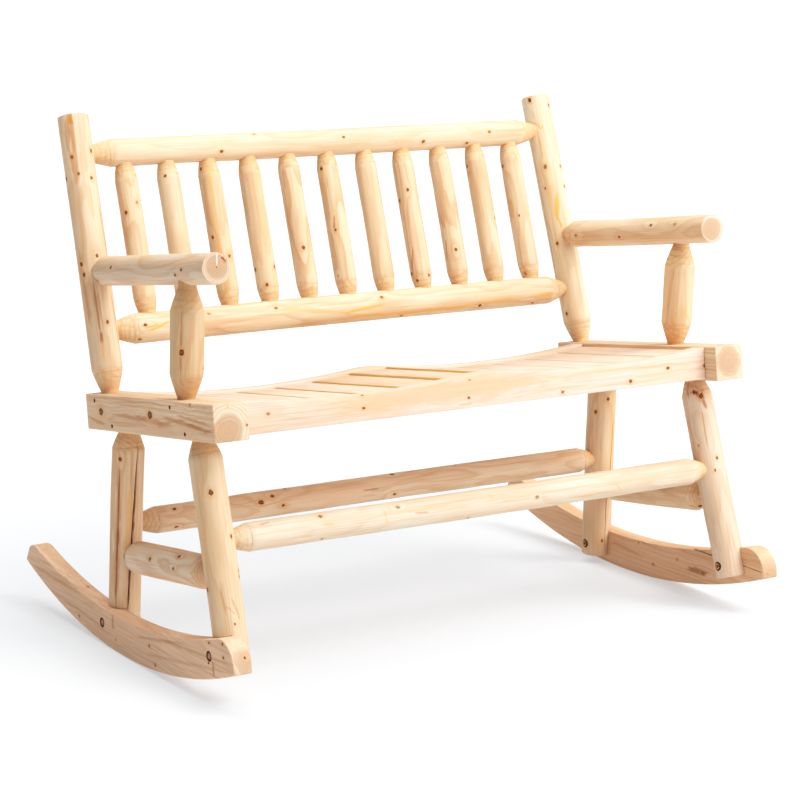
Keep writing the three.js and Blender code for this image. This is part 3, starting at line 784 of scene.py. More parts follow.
def make_rocker(side_name, side):
    inner = side * ROCKER_INNER_X
    outer = side * ROCKER_OUTER_X
    along = point(0, cos(ROCKER_GRAIN_SLOPE), sin(ROCKER_GRAIN_SLOPE))
    middle = point((inner + outer) / 2, ROCKER_ARC_Y, ROCKER_LOWEST + ROCKER_DEPTH / 2)
    own = grain_frame(middle, along, point(1, 0, 0))
    name = f"{side_name}_rocker"
    low, high = sorted((inner, outer))
    piece = prism(name + "_board", rocker_outline(), low, high, "x", own, ROCKER_ROUND)
    past = side * PAST
    for _, end in ENDS:
        at = bolt_point(side, end)
        cut(piece, cross_rod(at, inner - past, outer + past, BOLT_RADIUS + GAP, 20))
        cut(piece, cross_rod(at, outer - side * BORE_DEPTH, outer + past, BORE_RADIUS))
    return {name: piece}


# ---- Bolts and nuts
def turned(name, at, side, profile, sides=32):
    """A solid of revolution round the bolt's line; distances from the middle."""
    vertices = []
    for radius, x in profile:
        for angle in circle(sides):
            corner = point(side * x, at.y + radius * cos(angle), at.z + radius * sin(angle))
            vertices.append(corner)
    own = Matrix.Translation(at)
    inverse = own.inverted()
    vertices = [inverse @ vertex for vertex in vertices]
    piece = placed(name, vertices, tube_faces(len(profile), sides), own)
    tidy_solid(piece.data, 0)
    return piece


def hex_outline(at, radius):
    angles = [angle + HEXAGON_TURN for angle in circle(6)]
    return [(at.y + radius * cos(angle), at.z + radius * sin(angle)) for angle in angles]


def hexagon(name, at, side, from_x, to_x):
    """A hexagonal block whose corners at to_x are turned down by a cone."""
    corner = BOLT_FLATS / 2 / cos(pi / 6)
    near, far = sorted((side * from_x, side * to_x))
    own = Matrix.Translation(at)
    block = prism(name, hex_outline(at, corner), near, far, "x", own, HEXAGON_ROUND)
    away = 1 if to_x > from_x else -1
    lip = to_x - away * BOLT_CHAMFER
    beyond = to_x + away * 0.5
    # The cone is just inside the flats at the face, and just past the corners at the lip.
    cone = turned("cone", at, side, [(BOLT_FLATS / 2 - 1.2, beyond), (corner + 0.6, lip)])
    waste = turned("waste", at, side, [(corner + 3, beyond), (corner + 3, lip)])
    cut(waste, cone)
    cut(block, waste)
    return block


def make_bolt(name, side, end):
    """A threaded shank with a flange and a hexagonal head."""
    at = bolt_point(side, end)
    seat = ROCKER_OUTER_X - BORE_DEPTH + GAP
    nut_seat = abs(at.x) - NUT_FLOOR - GAP
    tip = nut_seat - NUT_FLANGE - NUT_HEIGHT - BOLT_END
    profile = [(BOLT_RADIUS - 1.2, tip)]
    x = tip + 0.8
    while x < nut_seat + 2:
        profile.append((BOLT_RADIUS, x))
        profile.append((BOLT_RADIUS - THREAD_DEPTH, x + THREAD_PITCH / 2))
        x += THREAD_PITCH
    profile += [(BOLT_RADIUS, x), (BOLT_RADIUS, seat + 1)]
    shank = turned(name + "_steel", at, side, profile)
    rim = NUT_FLANGE_RADIUS
    top = seat + BOLT_FLANGE
    join(shank, turned("flange", at, side, [(rim, seat), (rim, seat + 1), (rim - 1.2, top)]))
    join(shank, hexagon("head", at, side, seat + 0.5, top + BOLT_HEAD))
    return {name: shank}


def make_nut(name, side, end):
    """A bored hexagonal nut with a flange."""
    at = bolt_point(side, end)
    seat = abs(at.x) - NUT_FLOOR - GAP
    flange_face = seat - NUT_FLANGE
    face = flange_face - NUT_HEIGHT
    rim = NUT_FLANGE_RADIUS
    profile = [(rim - NUT_LIP, flange_face), (rim, flange_face + NUT_LIP), (rim, seat)]
    nut = turned(name + "_steel", at, side, profile)
    join(nut, hexagon("block", at, side, seat - NUT_FLANGE / 2, face))
    bore = BOLT_RADIUS + 0.15
    cut(nut, turned("bore", at, side, [(bore, face - PAST), (bore, seat + PAST)]))
    return {name: nut}


# ---- From a pixel of the photograph to a place on a piece
# Where a ray is tried against a piece that it misses, in steps of so many metres.
SEARCH_STEPS = 60
SEARCH_STEP = 0.015


def camera_axes():
    forward = Vector((
        sin(CAMERA_AZIMUTH) * cos(CAMERA_DROP),
        cos(CAMERA_AZIMUTH) * cos(CAMERA_DROP),
        -sin(CAMERA_DROP),
    ))
    right = forward.cross(Vector((0, 0, 1))).normalized()
    return forward, right, right.cross(forward)


FORWARD, RIGHT, UP = camera_axes()


def surface_tree(piece):
    mesh = piece.data
    vertices = [vertex.co.copy() for vertex in mesh.vertices]
    return BVHTree.FromPolygons(vertices, [tuple(face.vertices) for face in mesh.polygons])


def seen_on(piece, tree, x, y):
    """The place on a piece, in its own axes, behind a pixel of the photograph."""
    half = IMAGE_SIZE / 2
    ray = FORWARD * FOCAL_PIXELS + RIGHT * (x - half) + UP * (half - y)
    inverse = piece.matrix_world.inverted()
    origin = inverse @ CAMERA_PLACE
    heading = (inverse.to_3x3() @ ray).normalized()
    place = tree.ray_cast(origin, heading)[0]
    if place is not None:
        return place
    # The ray passes just outside the outline: take the nearest edge of it.
    middle = piece.matrix_world @ (sum((Vector(c) for c in piece.bound_box), Vector()) / 8)
    reach = (middle - CAMERA_PLACE).length
    probes = range(-SEARCH_STEPS, SEARCH_STEPS + 1)
    found = [tree.find_nearest(origin + heading * (reach + n * SEARCH_STEP)) for n in probes]
    return min(found, key=lambda hit: hit[3])[0]


def unseen_places(piece, count, rng):
    """Places on the long faces that the camera doesn't see."""
    view = piece.matrix_world.inverted() @ CAMERA_PLACE
    faces = []
    for face in piece.data.polygons:
        hidden = face.normal.dot(view - face.center) < -0.05
        if hidden and abs(face.normal.z) < 0.3:
            faces.append(face)
    if not faces:
        return []
    vertices = piece.data.vertices
    places = []
    for face in rng.choices(faces, [face.area for face in faces], k=count):
        shares = [rng.random() + 0.05 for _ in face.vertices]
        corners = [vertices[index].co for index in face.vertices]
        total = sum(shares)
        places.append(sum((c * (s / total) for c, s in zip(corners, shares)), Vector()))
    return places


# ---- Shader trees
def linear(red, green, blue):
    """A colour given as screen values from 0 to 255."""
    def one(value):
        share = value / 255
        return share / 12.92 if share <= 0.04045 else ((share + 0.055) / 1.055) ** 2.4
    return (one(red), one(green), one(blue), 1.0)


class Tree:
    """Adds nodes to a shader tree. A value is a number, a colour or a socket."""

    def __init__(self, tree):
        self.tree = tree

    def feed(self, socket, value):
        if isinstance(value, bpy.types.NodeSocket):
            self.tree.links.new(value, socket)
        else:
            socket.default_value = value

    def node(self, kind, inputs=(), **settings):
        made = self.tree.nodes.new(kind)
        for key, value in settings.items():
            setattr(made, key, value)
        for key, value in dict(inputs).items():
            self.feed(made.inputs[key], value)
        return made

    def math(self, operation, first, second=0.0, clamp=False):
        made = self.node("ShaderNodeMath", {0: first, 1: second}, operation=operation)
        made.use_clamp = clamp
        return made.outputs[0]

    def plus(self, first, second):
        return self.math("ADD", first, second)

    def minus(self, first, second):
        return self.math("SUBTRACT", first, second)

    def times(self, first, second, clamp=False):
        return self.math("MULTIPLY", first, second, clamp)

    def over(self, first, second, clamp=False):
        return self.math("DIVIDE", first, second, clamp)

    def square(self, value):
        return self.math("POWER", value, 2.0)

    def bell(self, value, width):
        """1 where the value is 0, and less to both sides over the width."""
        return self.math("EXPONENT", self.times(self.square(self.over(value, width)), -1.0))

    def vector(self, operation, first, second=(0, 0, 0)):
        made = self.node("ShaderNodeVectorMath", {0: first, 1: second}, operation=operation)
        single = operation in ("LENGTH", "DOT_PRODUCT", "DISTANCE")
        return made.outputs[1 if single else 0]

    def far(self, place, where, weights):
        """How far a place is from another, each axis by its weight."""
        off = self.vector("SUBTRACT", place, where)
        return self.vector("LENGTH", self.vector("MULTIPLY", off, weights))

    def facing(self, axis):
        """How squarely the surface looks along an axis, from 0 to 1."""
        normal = self.node("ShaderNodeTexCoord").outputs["Normal"]
        return self.math("ABSOLUTE", self.vector("DOT_PRODUCT", normal, axis))

    def scale(self, vector, amount):
        made = self.node("ShaderNodeVectorMath", {0: vector, "Scale": amount}, operation="SCALE")
        return made.outputs[0]

    def smooth(self, value, low, high, start=0.0, finish=1.0):
        made = self.node(
            "ShaderNodeMapRange",
            {0: value, 1: low, 2: high, 3: start, 4: finish},
            interpolation_type="SMOOTHSTEP",
        )
        return made.outputs[0]

    def noise(self, vector, stretch, detail=2.0, rough=0.5, output=0):
        stretched = self.vector("MULTIPLY", vector, stretch)
        made = self.node(
            "ShaderNodeTexNoise",
            {"Vector": stretched, "Scale": 1.0, "Detail": detail, "Roughness": rough},
        )
        return made.outputs[output]

    def layer(self, colour, place, tint, stretch, low, high, most=1.0, detail=2.0, rough=0.5):
        """Lays a tint over the colour where the noise rises from low to high."""
        amount = self.smooth(self.noise(place, stretch, detail, rough), low, high, 0.0, most)
        return self.mix(amount, colour, tint)

    def mix(self, factor, first, second, blend="MIX"):
        made = self.node("ShaderNodeMix", {0: factor, 6: first, 7: second})
        made.data_type = "RGBA"
        made.blend_type = blend
        return made.outputs[2]


def new_group(name, inputs, outputs):
    """A node group, its inputs by name, and the node that takes its outputs."""
    group = bpy.data.node_groups.new(name, "ShaderNodeTree")
    kinds = {"f": "NodeSocketFloat", "v": "NodeSocketVector", "c": "NodeSocketColor"}
    for label, kind in inputs.items():
        group.interface.new_socket(label, in_out="INPUT", socket_type=kinds[kind])
    for label, kind in outputs.items():
        group.interface.new_socket(label, in_out="OUTPUT", socket_type=kinds[kind])
    tree = Tree(group)
    given = tree.node("NodeGroupInput").outputs
    result = tree.node("NodeGroupOutput").inputs
    return group, tree, given, result


# Colours inside the groups. Noise is stretched by its waves in a metre: across, across
# and along the grain. Other lengths in a group are metres.
END_RIM = linear(216, 196, 170)
END_DISC = linear(166, 134, 108)
# The slats' sawn sides: their own colour, made lighter to lift the shade in the gaps between the
# slats, so partly painted light.
SAWN_SIDE = linear(238, 198, 120)
BLUSH = linear(226, 178, 142)
KNOT_HEART = linear(124, 70, 36)
KNOT_BARK = linear(50, 26, 12)
KNOT_HALO = linear(214, 150, 86)
TOOL_RING = linear(192, 134, 82)
SHOULDER_LINE = linear(196, 140, 84)
# Painted shade inside the logs' checks.
CHECK_SHADE = linear(150, 72, 28)
# Painted shade for the wood inside round holes.
BORE_SHADE = linear(74, 40, 22)
# What a cone's colour is multiplied by at its shoulder and at its tip.
SHOULDER_TINT = (1.03, 1.01, 0.97, 1)
TIP_TINT = (0.93, 0.82, 0.66, 1)


def wood_group():
    """Growth rings round a wandering pith, with fibres, streaks and end grain."""
    group, t, given, result = new_group(
        "wood",
        {
            "Vector": "v", "Rise": "f", "Seed": "v", "Pith": "v", "Ring": "f", "Heart": "f",
            "Contrast": "f", "Sap": "c", "Core": "c", "Late": "c", "Resin": "c",
            "Resin amount": "f", "Waviness": "f", "Axis": "v", "Cross": "v", "Edge": "f",
            "End": "f", "Bold": "f",
        },
        {"Color": "c", "Height": "f"},
    )
    look = t.vector("ADD", given["Vector"], given["Seed"])
    reach = ring_reach(t, given, look)
    slope = t.facing(given["Axis"])
    ends = t.smooth(slope, 0.62, 0.82)
    late = late_wood(t, given, reach, slope, ends)
    colour = t.mix(near_pith(t, given, reach, -0.0035, 0.0035), given["Sap"], given["Core"])
    for tint, stretch, low, high, most, detail, rough in (
        (given["Core"], (75, 75, 1.8), 0.42, 0.72, 0.6, 3.0, 0.5),
        (given["Core"], (13, 13, 5), 0.35, 0.75, 0.55, 2.0, 0.5),
        (given["Late"], (330, 330, 5), 0.48, 0.76, 0.6, 3.0, 0.6),
        (BLUSH, (20, 20, 9), 0.45, 0.7, 0.35, 2.0, 0.5),
    ):
        colour = t.layer(colour, look, tint, stretch, low, high, most, detail, rough)
    sawn_end = t.mix(near_pith(t, given, reach, 0.007, 0.014), END_RIM, END_DISC)
    colour = t.mix(t.times(ends, given["End"]), colour, sawn_end)
    colour = t.mix(late, colour, given["Late"])
    resin = t.smooth(t.noise(look, (34, 34, 1.3), 2.0), 0.60, 0.74)
    colour = t.mix(t.times(resin, given["Resin amount"]), colour, given["Resin"])
    fibre = t.noise(look, (900, 900, 14), 2.0, 0.6)
    shade = t.smooth(fibre, 0.25, 0.75, 0.91, 1.03)
    grey = t.node("ShaderNodeCombineColor", {0: shade, 1: shade, 2: shade}).outputs[0]
    colour = t.mix(1.0, colour, grey, "MULTIPLY")
    edges = t.smooth(t.facing(given["Cross"]), 0.75, 0.92)
    t.feed(result["Color"], t.mix(t.times(edges, given["Edge"]), colour, SAWN_SIDE))
    t.feed(result["Height"], t.plus(t.times(fibre, 0.6), t.times(late, 0.5)))
    return group


def ring_reach(t, given, look):
    """The uneven distance from the pith by which the rings are counted."""
    wander = t.vector("SUBTRACT", t.noise(look, (0.0, 0.0, 3.2), 1.0, output=1), (0.5, 0.5, 0.5))
    wander = t.vector("MULTIPLY", wander, (0.012, 0.012, 0))
    centred = t.vector("SUBTRACT", given["Vector"], given["Pith"])
    centred = t.vector("MULTIPLY", t.vector("ADD", centred, wander), (1.0, 1.0, 0.0))
    broad = t.minus(t.noise(look, (22, 22, 4.2), 1.5), 0.5)
    fine = t.minus(t.noise(look, (150, 150, 12), 2.0), 0.5)
    reach = t.plus(t.vector("LENGTH", centred), t.times(broad, given["Waviness"]))
    return t.plus(t.plus(reach, t.times(fine, 0.0016)), given["Rise"])


def near_pith(t, given, reach, low, high):
    """1 inside the heart's radius plus low, 0 outside the radius plus high."""
    return t.smooth(reach, t.plus(given["Heart"], low), t.plus(given["Heart"], high), 1.0, 0.0)


def late_wood(t, given, reach, slope, ends):
    """How dark each ring's late wood is: every ring has its own strength."""
    phase = t.over(reach, given["Ring"])
    index = t.math("FLOOR", phase)
    chance = t.node("ShaderNodeTexWhiteNoise", {"W": index}, noise_dimensions="1D").outputs[0]
    part = t.math("FRACT", phase)
    late = t.times(t.smooth(part, 0.35, 0.88), t.smooth(part, 0.92, 1.0, 1.0, 0.0))
    strength = t.plus(t.times(chance, 0.7), 0.3)
    strength = t.times(strength, t.smooth(slope, 0.12, 0.26, 1.0, 0.7))
    strength = t.times(strength, t.smooth(ends, 0.0, 1.0, 1.0, given["Bold"]))
    return t.times(t.times(late, strength), given["Contrast"], clamp=True)


def swerve_group():
    """Grain that parts round a knot, and rings that rise towards it."""
    inputs = {"Vector": "v", "Rise": "f", "Where": "v", "Size": "f"}
    group, t, given, result = new_group("swerve", inputs, {"Vector": "v", "Rise": "f"})
    off = t.vector("SUBTRACT", given["Vector"], given["Where"])
    far = t.vector("LENGTH", t.vector("MULTIPLY", off, (1.0, 1.0, 0.62)))
    share = t.over(far, given["Size"])
    near = t.times(t.bell(share, 2.4), 0.88)
    pull = t.scale(t.vector("MULTIPLY", off, (1.0, 1.0, 0.0)), near)
    t.feed(result["Vector"], t.vector("SUBTRACT", given["Vector"], pull))
    most = t.times(t.math("MINIMUM", given["Size"], 0.004), 0.6)
    t.feed(result["Rise"], t.plus(given["Rise"], t.times(t.bell(share, 3.4), most)))
    return group


def eye_group():
    """Rings that rise in a long lens, so that they show as nested ellipses."""
    inputs = {"Vector": "v", "Rise": "f", "Where": "v", "Size": "f", "Lift": "f"}
    group, t, given, result = new_group("eye", inputs, {"Rise": "f"})
    far = t.far(given["Vector"], given["Where"], (1.0, 1.0, 0.2))
    lift = t.times(t.bell(far, given["Size"]), given["Lift"])
    t.feed(result["Rise"], t.plus(given["Rise"], lift))
    return group


def knot_group():
    """A knot: a dark bark ring round a brown core, in a tan halo."""
    inputs = {"Color": "c", "Height": "f", "Vector": "v", "Where": "v", "Size": "f", "Tone": "f"}
    group, t, given, result = new_group("knot", inputs, {"Color": "c", "Height": "f"})
    far = t.far(given["Vector"], given["Where"], (1.0, 1.0, 0.78))
    ragged = t.smooth(t.noise(given["Vector"], (420, 420, 300), 2.0), 0.2, 0.8, 0.72, 1.28)
    share = t.times(t.over(far, given["Size"]), ragged)
    core = t.smooth(share, 0.72, 1.06, 1.0, 0.0)
    halo = t.smooth(share, 0.9, 2.7, 1.0, 0.0)
    dark = t.mix(t.smooth(share, 0.30, 0.85), KNOT_HEART, KNOT_BARK)
    halo_amount = t.times(halo, t.times(given["Tone"], 0.62))
    core_amount = t.times(core, t.times(given["Tone"], 1.2), clamp=True)
    colour = t.mix(halo_amount, given["Color"], KNOT_HALO)
    t.feed(result["Color"], t.mix(core_amount, colour, dark))
    swell = t.plus(t.times(core, -1.2), t.times(halo, 0.7))
    t.feed(result["Height"], t.plus(given["Height"], swell))
    return group


def stripe_group():
    """A soft stripe of colour from one point to another."""
    inputs = {
        "Color": "c", "Vector": "v", "From": "v", "To": "v", "Width": "f", "Tint": "c",
        "Amount": "f",
    }
    group, t, given, result = new_group("stain", inputs, {"Color": "c"})
    line = t.vector("SUBTRACT", given["To"], given["From"])
    off = t.vector("SUBTRACT", given["Vector"], given["From"])
    length = t.math("MAXIMUM", t.vector("DOT_PRODUCT", line, line), 1e-8)
    share = t.over(t.vector("DOT_PRODUCT", off, line), length)
    nearest = t.vector("ADD", given["From"], t.scale(line, share))
    far = t.vector("DISTANCE", given["Vector"], nearest)
    ragged = t.smooth(t.noise(given["Vector"], (240, 240, 30), 3.0), 0.2, 0.8, 0.55, 1.6)
    far = t.times(t.over(far, given["Width"]), ragged)
    # The stripe fades towards both of its ends, and a little past them.
    ahead = t.math("ABSOLUTE", t.minus(t.times(share, 1.7), 0.85))
    ahead = t.times(t.square(ahead), ragged)
    reach = t.math("SQRT", t.plus(t.square(far), t.square(ahead)))
    amount = t.times(t.smooth(reach, 0.4, 1.25, 1.0, 0.0), given["Amount"])
    t.feed(result["Color"], t.mix(amount, given["Color"], given["Tint"]))
    return group


def turned_group():
    """A log's cones, ringed by the tool and darker to the tip, and painted shade inside its checks.
    """
    inputs = {
        "Color": "c", "Height": "f", "Vector": "v", "Low": "f", "High": "f", "Length": "f",
        "Radius": "f", "Axis": "v",
    }
    group, t, given, result = new_group("turned", inputs, {"Color": "c", "Height": "f"})
    along = t.node("ShaderNodeSeparateXYZ", {0: given["Vector"]}).outputs[2]
    past = t.math("MAXIMUM", t.minus(given["Low"], along), t.minus(along, given["High"]))
    mask = t.smooth(past, -0.0003, 0.0005)
    depth = t.over(past, given["Length"], clamp=True)
    tint = t.mix(depth, SHOULDER_TINT, TIP_TINT)
    toned = t.mix(1.0, given["Color"], tint, "MULTIPLY")
    colour = t.mix(mask, given["Color"], toned)
    scored = t.smooth(t.noise(given["Vector"], (16, 16, 380), 1.0), 0.52, 0.70, 0.0, 0.6)
    colour = t.mix(t.times(scored, mask), colour, TOOL_RING)
    line = t.smooth(t.math("ABSOLUTE", past), 0.0002, 0.0014, 0.18, 0.0)
    colour = t.mix(line, colour, SHOULDER_LINE)
    # The inside of the checks is painted darker: painted shade.
    t.feed(result["Color"], t.mix(check_shade_mask(t, given, past), colour, CHECK_SHADE))
    wobble = t.times(t.noise(given["Vector"], (60, 60, 200), 2.0), 3.0)
    wave = t.math("SINE", t.plus(t.times(past, 4200.0), wobble))
    t.feed(result["Height"], t.plus(given["Height"], t.times(t.times(wave, mask), 0.22)))
    return group


def check_shade_mask(t, given, past):
    """1 where a log's surface lies well below its radius, away from its cones and ends: inside its
    checks, where shade is painted.
    """
    off_axis = t.vector("LENGTH", t.vector("MULTIPLY", given["Vector"], (1.0, 1.0, 0.0)))
    sunk = t.smooth(t.minus(given["Radius"], off_axis), 0.0022, 0.0042)
    beside = t.smooth(t.facing(given["Axis"]), 0.5, 0.8, 1.0, 0.0)
    return t.times(t.times(sunk, beside), t.smooth(past, -0.004, -0.001, 1.0, 0.0))


def bore_shade_group():
    """Painted shade on the wood inside a round hole that runs along x."""
    inputs = {"Color": "c", "Vector": "v", "Where": "v", "Radius": "f"}
    group, t, given, result = new_group("bore", inputs, {"Color": "c"})
    far = t.far(given["Vector"], given["Where"], (0.0, 1.0, 1.0))
    inside = t.smooth(t.minus(far, given["Radius"]), 0.0, 0.0008, 0.92, 0.0)
    t.feed(result["Color"], t.mix(inside, given["Color"], BORE_SHADE))
    return group


WOOD = wood_group()
BORE_SHADE_GROUP = bore_shade_group()
SWERVE = swerve_group()
EYE = eye_group()
KNOT = knot_group()
STRIPE = stripe_group()
TURNED = turned_group()

# Colours of the wood under the studio's light.
SAP = linear(224, 198, 164)
CORE = linear(213, 172, 130)
LATE = linear(192, 136, 92)
RESIN = linear(222, 158, 78)
BROWN = linear(152, 86, 42)
TAN = linear(180, 116, 66)
AMBER = linear(202, 122, 46)
# A painted highlight for the lit inner wall of a check.
PAINTED_LIT_WALL = linear(240, 226, 208)
DARK = linear(98, 44, 16)
PLANK_SAP = linear(221, 199, 182)
ROSE = linear(214, 162, 122)

LOOKS = {
    "log": {"Ring": 0.0034, "Heart": 0.012, "Contrast": 0.55, "Sap": SAP, "Core": CORE,
            "Late": LATE, "Resin amount": 0.4, "Waviness": 0.012, "End": 0.75,
            "Bold": 3.2},
    "beam": {"Ring": 0.0056, "Heart": 0.020, "Contrast": 0.45, "Sap": linear(226, 194, 158),
             "Core": linear(210, 164, 124), "Late": linear(182, 124, 82),
             "Resin amount": 0.25, "Waviness": 0.018, "End": 0.6, "Bold": 1.7},
    "rocker": {"Ring": 0.0085, "Heart": 0.016, "Contrast": 0.31, "Sap": linear(230, 190, 155),
               "Core": linear(216, 170, 130), "Late": linear(186, 128, 88),
               "Resin amount": 0.15, "Waviness": 0.034, "End": 0.5, "Bold": 2.6},
    "plank": {"Ring": 0.0080, "Heart": 0.010, "Contrast": 0.25, "Sap": PLANK_SAP,
              "Core": linear(216, 176, 138), "Late": LATE, "Resin amount": 0.10,
              "Waviness": 0.030, "End": 0.5, "Bold": 1.5},
    "slat": {"Ring": 0.0042, "Heart": 0.006, "Contrast": 0.34, "Sap": PLANK_SAP,
             "Core": linear(216, 176, 138), "Late": LATE, "Resin amount": 0.12,
             "Waviness": 0.014, "End": 0.5, "Bold": 1.5, "Edge": 0.9},
}

# How the colour of pieces differs from the rest: the start of the name, factors for red,
# green and blue.
TINTS = {
    # The left arm post is darker partly for its own colour and partly as painted shade of its shaded
    # left side.
    "left_arm_post": (0.79, 0.73, 0.64),
    "left_arm": (0.86, 0.90, 0.97),
    "right_arm_post": (1.02, 0.955, 0.87),
    "front_stretcher": (0.97, 1.04, 1.17),
    "rear_stretcher": (0.96, 0.93, 0.97),
    "left_side_stretcher": (1.0, 1.03, 1.14),
    "left_back_post": (0.95, 0.92, 0.91),
    "right_back_post": (1.03, 1.14, 1.20),
    "left_front_leg": (0.94, 0.93, 0.91),
    "left_rear_leg": (1.05, 1.03, 1.03),
    "right_front_leg": (0.955, 0.98, 1.10),
    "right_rear_leg": (0.94, 0.89, 0.87),
    "left_rocker": (1.02, 1.03, 1.08),
    "right_rocker": (0.96, 0.91, 0.86),
    "back_spindle": (0.96, 0.94, 0.90),
    "seat_slat_6": (0.94, 0.88, 0.80),
    "seat_slat_7": (0.92, 0.86, 0.78),
}

# How faint the rings look on the calmest pieces.
CALM = {
    "front_stretcher": 0.4, "right_back_post": 0.6, "right_front_leg": 0.7, "left_front_leg": 0.7,
    "top_back_rail": 0.8,
}

